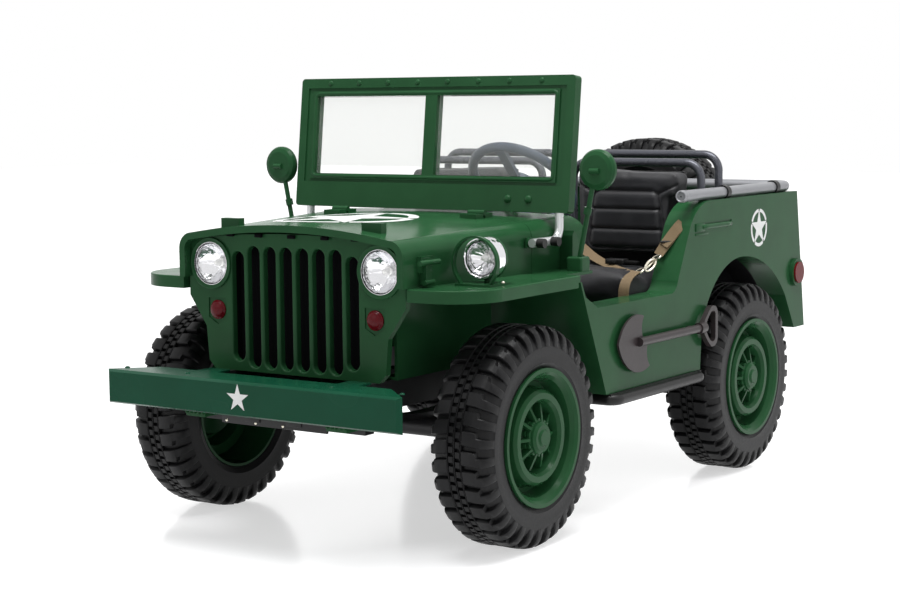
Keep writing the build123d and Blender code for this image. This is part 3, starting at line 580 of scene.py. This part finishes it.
def add_tyres():
    verts, faces = tyre_form()
    for place, side in WHEELS:
        centre = centre_of("tyre_" + place)
        placed = [centre + Vector((side * x, side * y, z)) * MM for x, y, z in verts]
        made = piece("tread_" + place, placed, faces, RUBBER, "wheel_" + place, "tyre_rubber")
        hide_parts("tyre_" + place)
    centre = centre_of("spare_tyre")
    turn = Matrix.Rotation(math.radians(90), 3, "Z")
    placed = [centre + (turn @ Vector(v)) * MM for v in verts]
    made = piece("tread_spare", placed, faces, RUBBER, "chassis", "tyre_rubber")
    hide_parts("spare_tyre")


# Painted stars: radius, then the ring as inner share, outer share and gap in degrees, then the middle's place
STAR_WAIST = 0.382
BUMPER_STAR = (24.0, None, (-15, 261))
SIDE_STAR = (37.0, (0.84, 1.02, 5), (855, 478))
HOOD_STAR = (128.0, (0.86, 1.0, 4), (-33, 10))
PAINT = 0.4
HOOD_PAINT = 0.5
HOOD_Z = 560
RAY_START = 0.3
FINE_EDGE = 12.0


def star_form(radius):
    points = []
    for i in range(10):
        reach = radius if i % 2 == 0 else radius * STAR_WAIST
        angle = math.pi / 2 + math.pi * i / 5
        points.append((reach * math.cos(angle), reach * math.sin(angle)))
    tips = [(i, (i + 1) % 10, (i - 1) % 10) for i in range(0, 10, 2)]
    return points, tips + [tuple(range(1, 10, 2))]


def arc_band(r_in, r_out, start, end, steps):
    verts = []
    for i in range(steps + 1):
        angle = math.radians(start + (end - start) * i / steps)
        for radius in (r_in, r_out):
            verts.append((radius * math.cos(angle), radius * math.sin(angle)))
    return verts, [(2 * i, 2 * i + 1, 2 * i + 3, 2 * i + 2) for i in range(steps)]


def split_fine(verts, faces, size, rounds=8):
    """Cuts a flat form's edges until none is longer than size."""
    mesh = bpy.data.meshes.new("fine")
    mesh.from_pydata([(x, y, 0) for x, y in verts], [], faces)
    edit = bmesh.new()
    edit.from_mesh(mesh)
    bmesh.ops.triangulate(edit, faces=edit.faces)
    for _ in range(rounds):
        long_edges = [e for e in edit.edges if e.calc_length() > size]
        if not long_edges:
            break
        bmesh.ops.subdivide_edges(edit, edges=long_edges, cuts=1)
        bmesh.ops.triangulate(edit, faces=edit.faces)
    points = [tuple(v.co)[:2] for v in edit.verts]
    edit.verts.index_update()
    triangles = [tuple(v.index for v in f.verts) for f in edit.faces]
    edit.free()
    return points, triangles


def lay_down(points, node):
    """Drops points onto a node from above, so that they follow its curve."""
    mesh = nodes[node].data
    tree = BVHTree.FromPolygons([v.co for v in mesh.vertices], [p.vertices for p in mesh.polygons])
    ray = Vector((0, 0, -1))
    laid = []
    for point in points:
        hit = tree.ray_cast(point - ray * RAY_START, ray)[0]
        laid.append(hit - ray * HOOD_PAINT * MM if hit else point)
    return laid


def add_star(name, star, place, body, node=None):
    """place maps the star's x and y to a point; with a node the star is laid on it."""
    radius, ring, (middle_x, middle_y) = star
    forms = [star_form(radius)]
    if ring:
        r_in, r_out, gap = ring
        for k in range(5):
            start = 90 + 72 * k + gap
            forms.append(arc_band(radius * r_in, radius * r_out, start, start + 72 - 2 * gap, 12))
    verts, faces = join_forms(forms)
    if node:
        verts, faces = split_fine(verts, faces, FINE_EDGE)
    points = [place(middle_x + x, middle_y + y) for x, y in verts]
    if node:
        points = lay_down(points, node)
    piece(name, points, faces, WHITE, body, smooth=False)


def add_stars():
    face_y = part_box("bumper")[0][1] - PAINT * MM
    add_star("star_bumper", BUMPER_STAR, lambda x, z: Vector((x * MM, face_y, z * MM)), "chassis")
    for side, name in ((1, "left"), (-1, "right")):
        x = side * (BODY_HALF + PAINT)
        add_star("star_" + name, SIDE_STAR, lambda y, z, x=x: at(x, y, z), "chassis")
    add_star("star_hood", HOOD_STAR, lambda x, y: at(x, y, HOOD_Z), "hood", "hood")


# Seats: the plain solids are blown up with cloth pressure, then sewn with seams and channels; pads in metres
PAD_INSET = 0.006
PAD_RISE = 0.0065
PAD_VOXEL = 0.006
PAD_PRESSURE = 4.0
PAD_MASS = 0.3
PAD_STRETCH = 12
PAD_BENDING = 3
CLOTH_FRAMES = 20
# A panel's corner, its outline seam and its channels as (depth, width) in millimetres
PANEL_CORNER = 14.0
BACK_TOP = 560
BACK_FOOT = 449
BACK_HALF = 70
BACK_FLARE = 0.11
BACK_LINES = (525.0, 486.0)
BACK_SEAM = (5.0, 3.2)
BACK_CHANNEL = (4.4, 3.0)
BACK_PILLOW = 2.2
PILLOW_EDGE = 12.0
WING_LINE = 556
WING_SLOPE = 0.42
WING_SEAM = (4.5, 3.0)
CUSHION_HALF = 74.0
CUSHION_FRONT = 455.0
CUSHION_REAR = 575.0
CUSHION_LINES = (495.0, 535.0)
CUSHION_SEAM = (4.5, 3.2)
CUSHION_CHANNEL = (3.0, 2.6)
# How far a face has to look to the front or up to be sewn
SEWN_SIDE = 0.35


def solids_of(node):
    """Splits a node's mesh into its separate solids, the left one first."""
    edit = bmesh.new()
    edit.from_mesh(nodes[node].data)
    bmesh.ops.remove_doubles(edit, verts=edit.verts, dist=1e-6)
    left = set(edit.verts)
    found = []
    while left:
        seed = left.pop()
        group = {seed}
        stack = [seed]
        while stack:
            for e in stack.pop().link_edges:
                for v in e.verts:
                    if v in left:
                        left.discard(v)
                        group.add(v)
                        stack.append(v)
        order = {v: i for i, v in enumerate(group)}
        points = [v.co.copy() for v in group]
        faces = [tuple(order[v] for v in f.verts) for f in edit.faces if f.verts[0] in group]
        found.append((points, faces))
    edit.free()
    found.sort(key=lambda form: -sum(p.x for p in form[0]) / len(form[0]))
    return found


def apply_modifiers(work):
    depsgraph = bpy.context.evaluated_depsgraph_get()
    done = bpy.data.meshes.new_from_object(work.evaluated_get(depsgraph))
    work.modifiers.clear()
    work.data = done


def inflate(work):
    """Blows the pad up with cloth pressure, each point by PAD_RISE at most."""
    start = [v.co.copy() for v in work.data.vertices]
    cloth = work.modifiers.new("cloth", "CLOTH")
    cloth.settings.quality = 6
    cloth.settings.mass = PAD_MASS
    cloth.settings.tension_stiffness = PAD_STRETCH
    cloth.settings.compression_stiffness = PAD_STRETCH
    cloth.settings.bending_stiffness = PAD_BENDING
    cloth.settings.use_pressure = True
    cloth.settings.uniform_pressure_force = PAD_PRESSURE
    cloth.settings.effector_weights.gravity = 0
    cloth.collision_settings.use_collision = False
    cloth.point_cache.frame_start = 1
    cloth.point_cache.frame_end = CLOTH_FRAMES
    for step in range(1, CLOTH_FRAMES + 1):
        bpy.context.scene.frame_set(step)
    apply_modifiers(work)
    bpy.context.scene.frame_set(1)
    for v, old in zip(work.data.vertices, start):
        move = v.co - old
        if move.length > PAD_RISE:
            v.co = old + move * (PAD_RISE / move.length)


def padded_body(name, points, faces, low, high):
    middle = (low + high) / 2
    scale = Vector((1 - 2 * PAD_INSET / (high[i] - low[i]) for i in range(3)))
    mesh = bpy.data.meshes.new(name)
    inner = [middle + Vector((p - middle)[i] * scale[i] for i in range(3)) for p in points]
    mesh.from_pydata(inner, [], faces)
    work = bpy.data.objects.new(name, mesh)
    bpy.context.scene.collection.objects.link(work)
    bpy.context.view_layer.objects.active = work
    remesh = work.modifiers.new("remesh", "REMESH")
    remesh.mode = "VOXEL"
    remesh.voxel_size = PAD_VOXEL
    apply_modifiers(work)
    inflate(work)
    refine = work.modifiers.new("refine", "SUBSURF")
    refine.levels = 1
    apply_modifiers(work)
    return work


def groove(distance, seam):
    depth, width = seam
    return depth * math.exp(-(distance / width) ** 2)


def panel_edge(past_side, past_end):
    """How far a point lies outside a panel's rounded outline, below 0 inside it."""
    if past_side > -PANEL_CORNER and past_end > -PANEL_CORNER:
        return math.hypot(past_side + PANEL_CORNER, past_end + PANEL_CORNER) - PANEL_CORNER
    return max(past_side, past_end)


def sew_back(x, z):
    """Depth of the seams on a seat back's front, x measured from the seat's middle."""
    half = BACK_HALF + (BACK_TOP - z) * BACK_FLARE
    edge = panel_edge(abs(x) - half, max(z - BACK_TOP, BACK_FOOT - z))
    depth = groove(edge, BACK_SEAM)
    if edge < 0:
        depth += sum(groove(z - line, BACK_CHANNEL) for line in BACK_LINES)
        depth -= BACK_PILLOW * min(1.0, -edge / PILLOW_EDGE)
    if edge > 0 and abs(x) > half:
        depth += groove(z - WING_LINE - (abs(x) - half) * WING_SLOPE, WING_SEAM)
    return depth


def sew_cushion(x, y):
    """Depth of the seams on a cushion's top, x measured from the seat's middle."""
    edge = panel_edge(abs(x) - CUSHION_HALF, max(CUSHION_FRONT - y, y - CUSHION_REAR))
    depth = groove(edge, CUSHION_SEAM)
    if edge < 0:
        depth += sum(groove(y - line, CUSHION_CHANNEL) for line in CUSHION_LINES)
    return depth


def sew(mesh, kind, low, high):
    """Keeps the pad inside its solid's box, then presses the seams in."""
    middle_x = (low.x + high.x) / 2
    mesh.update()
    for v in mesh.vertices:
        for i in range(3):
            v.co[i] = min(max(v.co[i], low[i]), high[i])
        x = (v.co.x - middle_x) / MM
        if kind == "back" and v.normal.y < -SEWN_SIDE:
            v.co.y += sew_back(x, v.co.z / MM) * MM
        if kind == "cushion" and v.normal.z > SEWN_SIDE:
            v.co.z -= sew_cushion(x, (v.co.y - AXLE_Y) / MM) * MM


def add_seats():
    for node, kind in (("seat_backs", "back"), ("seat_cushions", "cushion")):
        for (points, faces), tag in zip(solids_of(node), ("left", "right")):
            name = "seat_" + kind + "_" + tag
            low = Vector((min(p[i] for p in points) for i in range(3)))
            high = Vector((max(p[i] for p in points) for i in range(3)))
            work = padded_body(name, points, faces, low, high)
            mesh = work.data
            sew(mesh, kind, low, high)
            bpy.data.objects.remove(work)
            made = finish_piece(mesh, name, LEATHER, "chassis")
            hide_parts(node)


# Windshield: rivets and two buffers on the frame, sized by radius and height, and a bead round the panes
LEAN = math.radians(6.7)
SHIELD_FOOT_Y = 205.0
SHIELD_FOOT_Z = 541.0
RIVETS_X = (33, 100, 166, 233)
RIVET_UP = 231.5
RIVET_SIZE = (5.4, 3.0)
BUFFERS_X = (176, 219)
BUFFER_UP = 22.0
BUFFER_SIZE = (7.5, 5.0)
SUNK = 0.3
BEAD_HALF = 258
BEAD_UP = (66, 203)
BEAD_CORNER = 9.0
BEAD_SUNK = 2.6
BEAD_R = 4.2


def on_shield(x, up, out):
    """A point on the windshield's front plane, up from its foot and out towards the front."""
    y = SHIELD_FOOT_Y + up * math.sin(LEAN) - out * math.cos(LEAN)
    z = SHIELD_FOOT_Z + up * math.cos(LEAN) + out * math.sin(LEAN)
    return at(x, y, z)


def dome_on(place, normal, radius, height, steps=20, rings=5):
    """A flat dome on a point, its radius and height in millimetres."""
    normal = Vector(normal).normalized()
    across = normal.orthogonal().normalized()
    other = normal.cross(across)
    profile = []
    for i in range(rings + 1):
        angle = math.pi / 2 * i / rings
        profile.append((math.sin(angle) * height, max(math.cos(angle) * radius, 0.02)))
    turn = Matrix((normal, across, other)).transposed() * MM
    return lathe(profile, steps, lambda out, side, up: place + turn @ Vector((out, side, up)))


def add_rivets():
    out = (0, -math.cos(LEAN), math.sin(LEAN))
    forms = []
    for x in RIVETS_X:
        for side in (-1, 1):
            forms.append(dome_on(on_shield(side * x, RIVET_UP, -SUNK), out, *RIVET_SIZE))
    for x in BUFFERS_X:
        forms.append(dome_on(on_shield(x, BUFFER_UP, -SUNK), out, *BUFFER_SIZE))
    piece("shield_rivets", *join_forms(forms), GREEN, "windshield", "body_green")


def add_shield_bead():
    low, high = BEAD_UP
    corners = ((BEAD_HALF, high, 0), (-BEAD_HALF, high, 90), (-BEAD_HALF, low, 180), (BEAD_HALF, low, 270))
    path = []
    for x, up, start in corners:
        for k in range(5):
            angle = math.radians(start + 22.5 * k)
            across = x + BEAD_CORNER * math.cos(angle)
            path.append(on_shield(across, up + BEAD_CORNER * math.sin(angle), -BEAD_SUNK))
    piece("shield_bead", *tube(path, BEAD_R, 12, closed=True), GREEN, "windshield", "body_green")


# Lamps: bezels and rings as (out, radius) profiles, stepped reflectors and bulbs
SPOT_PLACE = (303.5, -74, 483)
SPOT_BEZEL = (
    (2.2, 28.9), (3.4, 30.0), (3.6, 31.6), (2.4, 33.2), (-3.0, 34.3), (-12.0, 34.6), (-21.0, 34.5),
    (-21.5, 33.9), (-3.0, 33.6), (1.8, 32.4), (1.8, 28.9),
)
SPOT_RIM = ((-21.6, 34.2), (-22.0, 35.2), (-25.0, 35.4), (-26.5, 34.6), (-26.0, 33.6))
SPOT_BOWL = (27.6, 19.0)
SPOT_BOLT_PLACE = (331, -52, 443.3)
SPOT_BOLT_SIZE = (3.6, 3.2)
LAMP_PLACE = (179, -180, 464)
LAMP_RING = (
    (1.8, 36.5), (2.5, 36.8), (2.4, 39.5), (2.7, 42.0), (3.3, 43.2), (2.8, 44.2), (-1.0, 44.4), (-1.0, 36.5),
)
LAMP_BOWL = (34.6, 24.0)
MARKER_PLACE = (167, -180.8, 385)
MARKER_SIZE = (14.6, 5.5)
RING_STEPS = 64
BOWL_RINGS = 9
BOWL_STEPS = 48
BOWL_STEP_DEPTH = 0.5
FLUTE_DEPTH = 0.7
BULB_SEAT = 5.0
# Each ring: height over the bowl's floor and radius
BULB_PROFILE = ((0, 7.0), (3, 7.2), (4, 5.4), (9, 5.2), (12, 4.0), (13.4, 2.0), (13.8, 0.02))
FRONT = (0, -1, 0)
UP = (0, 0, 1)


def along_y(x, y, z):
    """Places a lathe's out along the toy's front direction from a point."""
    return lambda out, side, up: at(x + side, y - out, z + up)


def reflector(place, radius, deep):
    """A bowl whose rings step in, each pushed in and out round its turn as a pressed reflector is."""
    profile = []
    for i in range(BOWL_RINGS + 1):
        share = i / BOWL_RINGS
        reach = radius * (1 - share) + BULB_SEAT * share
        sunk = -deep * (1 - (reach / radius) ** 2) - (BOWL_STEP_DEPTH if i % 2 else 0.0)
        profile.append((sunk, reach))
    verts, faces = lathe(profile, BOWL_STEPS, straight)
    pressed = []
    for i, (out, side, up) in enumerate(verts):
        ring, step = divmod(i, BOWL_STEPS)
        raised = 0 < ring < BOWL_RINGS and step % 4 < 2
        pressed.append(place(out + (FLUTE_DEPTH if raised else 0.0), side, up))
    return pressed, faces


def bulb(place, deep):
    return lathe([(out - deep, radius) for out, radius in BULB_PROFILE], 20, place)


def add_spot_lamp():
    spot = along_y(*SPOT_PLACE)
    piece("spot_bezel", *lathe(SPOT_BEZEL, RING_STEPS, spot, closed=True), CHROME, "chassis", "lamp_bright")
    piece("spot_rim", *lathe(SPOT_RIM, RING_STEPS, spot, closed=True), GREEN, "chassis", "body_green")


def add_lamp_bowls():
    x, y, z = LAMP_PLACE
    lamps = [along_y(side * x, y, z) for side in SIDES]
    rings = [lathe(LAMP_RING, RING_STEPS, lamp, closed=True) for lamp in lamps]
    bowls = [(along_y(*SPOT_PLACE), *SPOT_BOWL)] + [(lamp, *LAMP_BOWL) for lamp in lamps]
    bulbs = [bulb(lamp, deep) for lamp, _, deep in bowls]
    reflectors = [reflector(*bowl) for bowl in bowls]
    piece("lamp_rings", *join_forms(rings), GREEN, "chassis", "body_green")
    piece("lamp_reflectors", *join_forms(reflectors), CHROME, "chassis", "lamp_bright")
    piece("lamp_bulbs", *join_forms(bulbs), BULB, "chassis", "lamp_bright")


def add_spot_bolt():
    piece("spot_bolt", *dome_on(at(*SPOT_BOLT_PLACE), UP, *SPOT_BOLT_SIZE), STEEL, "chassis", "lamp_bright")


def add_markers():
    x, y, z = MARKER_PLACE
    domes = [dome_on(at(side * x, y, z), FRONT, *MARKER_SIZE, 28, 6) for side in SIDES]
    piece("marker_domes", *join_forms(domes), MARKER_RED, "chassis", "marker_red")


# Wheel hubs: a ribbed barrel with a ringed cap over each hub, as (out, radius) from the tyre's middle
HUB_CAP = (
    (22, 30.6), (43.0, 30.6), (44.4, 30.0), (45.2, 28.4), (46.8, 27.0), (47.2, 24.0), (46.3, 23.2),
    (46.3, 21.8), (47.6, 21.0), (47.9, 16.6), (47.0, 15.8), (47.0, 14.4), (48.2, 13.6), (48.4, 8.6),
    (47.6, 7.8), (47.6, 6.6), (48.6, 5.8), (48.8, 0.02),
)
HUB_RIBS = 10
RIB_BLOCKS = (((22, 28, -4.4), (38.5, 34.0, 4.4)), ((39.5, 27, -3.4), (45.6, 31.8, 3.4)))


def hub_form():
    forms = [lathe(HUB_CAP, 60, lambda out, side, up: Vector((out, side, up)) * MM)]
    for k in range(HUB_RIBS):
        turn = Matrix.Rotation(2 * math.pi * (k + 0.5) / HUB_RIBS, 3, "X")
        for low, high in RIB_BLOCKS:
            points, faces = block(Vector(low) * MM, Vector(high) * MM, 1.0)
            forms.append(([turn @ p for p in points], faces))
    return join_forms(forms)


def add_hubs():
    points, faces = hub_form()
    for place, side in WHEELS:
        centre = centre_of("rim_" + place)
        centre.x = centre_of("tyre_" + place).x
        placed = [centre + Vector((side * p.x, side * p.y, p.z)) for p in points]
        piece("hub_" + place, placed, faces, GREEN, "wheel_" + place, "body_green")


# Mirror glass on the side that faces the driver
MIRROR_PLACE = (350, 228, 616)
MIRROR_FACE = ((0.2, 33.4), (0.9, 33.0), (1.2, 31.6), (1.5, 24.0), (1.7, 12.0), (1.8, 0.02))


def to_rear(x, y, z):
    """Places a lathe's out along the toy's rear direction from a point."""
    return lambda out, across, up: at(x + across, y + out, z + up)


def add_mirror_faces():
    x, y, z = MIRROR_PLACE
    forms = [lathe(MIRROR_FACE, 48, to_rear(side * x, y, z)) for side in SIDES]
    piece("mirror_glass", *join_forms(forms), MIRROR, "chassis")


# Seat belts, left side: two straps meet in a snap hook at the cushion's outer edge, and a tail hangs down
BELT_W = 20.6
BELT_T = 1.6
OUTER_RUN = ((340, 562, 504), (337, 551, 497), (329, 540, 481), (319, 527, 461), (312, 518, 446))
FOLD_RUN = ((334, 544.5, 491), (327, 535, 477), (319, 524.5, 463))
INNER_RUN = (
    (86, 596, 452), (104, 588, 449), (140, 562, 437), (180, 535, 427), (222, 506, 420), (262, 482, 416),
    (284, 470, 415),
)
TAIL_RUN = (
    (290, 474, 417), (295, 452, 416), (298, 432, 412), (300, 416, 405), (301, 406, 393), (301, 403, 376),
    (301, 402.5, 360),
)
FACE_OUT = ((0.5, -0.75, 0.45), (0.45, -0.7, 0.55), (0.2, -0.5, 0.85))
FACE_UP = ((0.1, -0.75, 0.65), (0.0, -0.35, 0.94), (0.1, -0.25, 0.96))
FACE_TAIL = ((0, 0, 1), (0.05, -0.55, 0.83), (0.1, -1, 0.05))
STRAPS = (
    (OUTER_RUN, FACE_OUT, BELT_W), (FOLD_RUN, FACE_OUT, BELT_W - 1), (INNER_RUN, FACE_UP, BELT_W),
    (TAIL_RUN, FACE_TAIL, BELT_W),
)
ADJUSTER_ENDS = ((313.8, 523.75, 470), (332.2, 535.25, 470))
ADJUSTER_R = 2.2
HOOK_RUN = Vector((-0.25, -0.75, -0.61)).normalized()
HOOK_WIDE = Vector((0.85, -0.45, 0.2)).normalized()
HOOK_UPRIGHT = HOOK_RUN.cross(HOOK_WIDE).normalized()
# Each ring: middle, second direction, half length, half width and bar radius
HOOK_RINGS = (
    ((311, 513, 441), HOOK_WIDE, 7.0, 13.0, 1.9),
    ((307, 496, 428), HOOK_UPRIGHT, 15.0, 7.0, 2.4),
    ((295, 474, 417), HOOK_WIDE, 9.0, 13.0, 1.9),
)
HOOK_BAR = ((308, 505, 434), (304, 492, 425), (300, 482, 419))
HOOK_BAR_R = 2.0
# Release buckle: shell, tongue and knob as low corner, high corner, bevel and bevel segments
BUCKLE_BLOCKS = (
    ((196, 520, 424), (236, 544, 434), 3.0, 3),
    ((234, 525, 426), (262, 539, 431), 1.8, 2),
    ((204, 512, 426), (222, 522, 432), 1.8, 2),
)


def both_sides(name, forms, mat, slot=None):
    piece(name, *join_forms(forms + [flip(form) for form in forms]), mat, "chassis", slot)


def oval(centre, other_way, half_long, half_wide, steps=28):
    points = []
    for i in range(steps):
        angle = 2 * math.pi * i / steps
        offset = HOOK_RUN * math.cos(angle) * half_long + other_way * math.sin(angle) * half_wide
        points.append(at(*centre) + offset * MM)
    return points


def add_belt_straps():
    straps = []
    for run, facing, width in STRAPS:
        line = smooth_line([at(*place) for place in run])
        straps.append(ribbon(line, [Vector(way) for way in facing], width, BELT_T))
    both_sides("belt_straps", straps, WEBBING)


def add_belt_hooks():
    metal = []
    for centre, other_way, half_long, half_wide, radius in HOOK_RINGS:
        metal.append(tube(oval(centre, other_way, half_long, half_wide), radius, 10, closed=True))
    metal.append(tube([at(*place) for place in HOOK_BAR], HOOK_BAR_R, 10))
    both_sides("belt_hooks", metal, STEEL)


def add_belt_buckles():
    bar = tube([at(*place) for place in ADJUSTER_ENDS], ADJUSTER_R, 10)
    both_sides("belt_adjusters", [bar], DARK, "black_plastic")
    blocks = [block(at(*low), at(*high), bevel, segments) for low, high, bevel, segments in BUCKLE_BLOCKS]
    both_sides("belt_buckles", blocks, DARK, "black_plastic")


# Tool brackets on the body sides: a bar half sunk in the wall, its pad and a lip below
BRACKET_BAR = ((359.5, 604, 494), (359.5, 726, 494))
BRACKET_BAR_R = 5.4
BRACKET_PAD = ((357, 575, 486), (362.4, 612, 502), 2.2)
BRACKET_LIP = ((357, 575, 479), (361.6, 628, 483.5), 1.4)


def add_side_brackets():
    forms = []
    for side in SIDES:
        low, high = (at(side * x, y, z) for x, y, z in BRACKET_BAR)
        bar = tube([low.lerp(high, i / 6) for i in range(7)], BRACKET_BAR_R, 14)
        forms += [bar, side_block(side, *BRACKET_PAD), side_block(side, *BRACKET_LIP)]
    piece("side_brackets", *join_forms(forms), GREEN, "chassis", "body_green")


# Front end: bolts on the bumper, a dark apron behind it, plates and feet where it meets the frame horns
BUMPER_BOLTS_X = (-289, -152, 152, 289)
BUMPER_BOLT_Y = -276
BUMPER_BOLT_Z = 287.4
BUMPER_BOLT_SIZE = (4.6, 3.0)
APRON_BLOCKS = (
    ((-127, -238, 262), (127, -64, 266), 1.5),
    ((-112, -238, 203), (112, -233.5, 264), 2.0),
    ((-60, -240, 209), (-28, -232, 226), 1.5),
    ((28, -240, 209), (60, -232, 226), 1.5),
)
APRON_SCREWS_X = (-101, -38, 20)
APRON_SCREW_Y = -237.8
APRON_SCREW_Z = 208
APRON_SCREW_SIZE = (2.8, 2.0)
HORN_PLATE = ((127, -243, 282.5), (171, -196, 286.5), 1.4)
HORN_FOOT = ((128, -262, 213), (170, -226, 222), 2.0)
FOOT_RIBS = 5
FOOT_RIB_START = 3
FOOT_RIB_PITCH = 9
FOOT_RIB_W = 3.2
FOOT_RIB_Y = (-268, -220)
FOOT_RIB_Z = (219, 236)


def add_bumper_bolts():
    bolts = [dome_on(at(x, BUMPER_BOLT_Y, BUMPER_BOLT_Z), UP, *BUMPER_BOLT_SIZE) for x in BUMPER_BOLTS_X]
    piece("bumper_bolts", *join_forms(bolts), BUMPER_GREEN, "chassis", "body_green")


def add_front_apron():
    apron = [block(at(*low), at(*high), bevel) for low, high, bevel in APRON_BLOCKS]
    screws = [dome_on(at(x, APRON_SCREW_Y, APRON_SCREW_Z), FRONT, *APRON_SCREW_SIZE) for x in APRON_SCREWS_X]
    piece("front_apron", *join_forms(apron), DARK, "chassis", "black_plastic")
    piece("apron_screws", *join_forms(screws), STEEL, "chassis", "silver_arm")


def add_horns():
    plates = []
    feet = []
    for side in SIDES:
        plates.append(side_block(side, *HORN_PLATE))
        feet.append(side_block(side, *HORN_FOOT))
        start = min(side * HORN_FOOT[0][0], side * HORN_FOOT[1][0]) + FOOT_RIB_START
        for k in range(FOOT_RIBS):
            x = start + k * FOOT_RIB_PITCH
            low = at(x, FOOT_RIB_Y[0], FOOT_RIB_Z[0])
            feet.append(block(low, at(x + FOOT_RIB_W, FOOT_RIB_Y[1], FOOT_RIB_Z[1]), 1.0))
    piece("horn_plates", *join_forms(plates), BUMPER_GREEN, "chassis", "body_green")
    piece("horn_feet", *join_forms(feet), GREEN, "chassis", "body_green")


# Dark panels between the sills and the running boards
SILL_PANEL = ((172, 246, 218), (364, 596, 222.6), 1.6)


def add_sill_panels():
    panels = [side_block(side, *SILL_PANEL) for side in SIDES]
    piece("sill_panels", *join_forms(panels), DARK, "chassis", "black_plastic")


# Rolled lip at the front end of each side rail, and a dark disc in its mouth that is painted shade for the
# open tube, as (out, radius) profiles
RAIL_END_PLACE = (345, 544, 554.3)
RAIL_END = ((2.2, 7.4), (0.4, 8.2), (-0.6, 9.4), (0.2, 11.0), (2.2, 11.7), (12.0, 11.8), (13.0, 11.2))
RAIL_MOUTH_SHADE = ((0.9, 0.02), (1.1, 4.0), (1.6, 6.6), (2.6, 7.8))


def add_rail_ends():
    x, y, z = RAIL_END_PLACE
    places = [to_rear(side * x, y, z) for side in SIDES]
    ends = [lathe(RAIL_END, 28, place) for place in places]
    # Dark discs in the open tube ends: painted shade
    mouth_shades = [lathe(RAIL_MOUTH_SHADE, 28, place) for place in places]
    piece("rail_ends", *join_forms(ends), RAIL_GREY, "chassis", "rail_grey")
    piece("rail_mouth_shades", *join_forms(mouth_shades), DARK, "chassis", "black_plastic")


# Rubber pads under the hood's front lip
LIP_PADS_X = (-132, -70, 0, 70, 132)
LIP_PAD_HALF = 7
LIP_PAD_Y = (-186, -180)
LIP_PAD_Z = (512, 518)


def add_lip_pads():
    pads = []
    for x in LIP_PADS_X:
        low = at(x - LIP_PAD_HALF, LIP_PAD_Y[0], LIP_PAD_Z[0])
        pads.append(block(low, at(x + LIP_PAD_HALF, LIP_PAD_Y[1], LIP_PAD_Z[1]), 1.2))
    piece("lip_pads", *join_forms(pads), SLOT_SHADE_AND_BLACK, "chassis", "black_plastic")


# Floor and lights; the white of the studio is shown to the camera, to metal and through glass
FLOOR_GLOW = 0.56
FLOOR_HALF = 14
WORLD_LIGHT = 0.45
STUDIO_WHITE = (1.0, 1.0, 1.0, 1.0)
# Each lamp: name, place, target, size in metres and watts
LIGHTS = (
    ("top", (0.5, -0.5, 3.0), (0, 0, 0.3), (2.6, 1.2), 100),
    ("left_side", (3.6, 0.9, 1.7), (0, 0.1, 0.4), (2.2, 2.0), 14),
    ("front", (-1.4, -4.0, 1.6), (0, 0, 0.4), (1.6, 1.4), 6),
)


def studio_level(tree, low, high):
    """low for the light itself, high for rays from the camera, in reflections and through glass."""
    path = tree.nodes.new("ShaderNodeLightPath")
    share = path.outputs["Is Camera Ray"]
    for ray in ("Is Glossy Ray", "Is Transmission Ray"):
        either = tree.nodes.new("ShaderNodeMath")
        either.operation = "MAXIMUM"
        tree.links.new(share, either.inputs[0])
        tree.links.new(path.outputs[ray], either.inputs[1])
        share = either.outputs[0]
    level = tree.nodes.new("ShaderNodeMapRange")
    level.inputs["To Min"].default_value = low
    level.inputs["To Max"].default_value = high
    tree.links.new(share, level.inputs["Value"])
    return level.outputs["Result"]


def floor_material():
    mat = material("floor", (0.84, 0.84, 0.85), 0.16, Specular_IOR_Level=0.5, Emission_Color=STUDIO_WHITE)
    glow = studio_level(mat.node_tree, 0.0, FLOOR_GLOW)
    mat.node_tree.links.new(glow, shader_input(mat, "Emission Strength"))
    spread(mat, noise(mat, 3.0, 2.0), "Roughness", 0.14, 0.20)
    return mat


def add_stage():
    verts = [(x * FLOOR_HALF, y * FLOOR_HALF, 0) for x, y in ((-1, -1), (1, -1), (1, 1), (-1, 1))]
    mesh = bpy.data.meshes.new("floor")
    mesh.from_pydata(verts, [], [(0, 1, 2, 3)])
    mesh.materials.append(floor_material())
    floor = bpy.data.objects.new("floor", mesh)
    bpy.context.scene.collection.objects.link(floor)


def add_world():
    world = bpy.data.worlds.new("world")
    world.use_nodes = True
    background = world.node_tree.nodes["Background"]
    background.inputs["Color"].default_value = STUDIO_WHITE
    level = studio_level(world.node_tree, WORLD_LIGHT, 1.0)
    world.node_tree.links.new(level, background.inputs["Strength"])
    bpy.context.scene.world = world


def add_lights():
    for name, place, target, size, power in LIGHTS:
        data = bpy.data.lights.new(name, "AREA")
        data.shape = "RECTANGLE"
        data.size, data.size_y = size
        data.energy = power
        light = bpy.data.objects.new(name, data)
        light.location = place
        light.rotation_euler = (Vector(target) - Vector(place)).to_track_quat("-Z", "Y").to_euler()
        bpy.context.scene.collection.objects.link(light)


bpy.context.scene.view_settings.view_transform = "Standard"
add_camera()
dress_nodes()
add_tyres()
add_stars()
add_rivets()
add_shield_bead()
add_seats()
add_belt_straps()
add_belt_hooks()
add_belt_buckles()
add_spot_lamp()
add_lamp_bowls()
add_spot_bolt()
add_markers()
add_hubs()
add_mirror_faces()
add_side_brackets()
add_bumper_bolts()
add_front_apron()
add_horns()
add_sill_panels()
add_rail_ends()
add_lip_pads()
add_stage()
add_world()
add_lights()
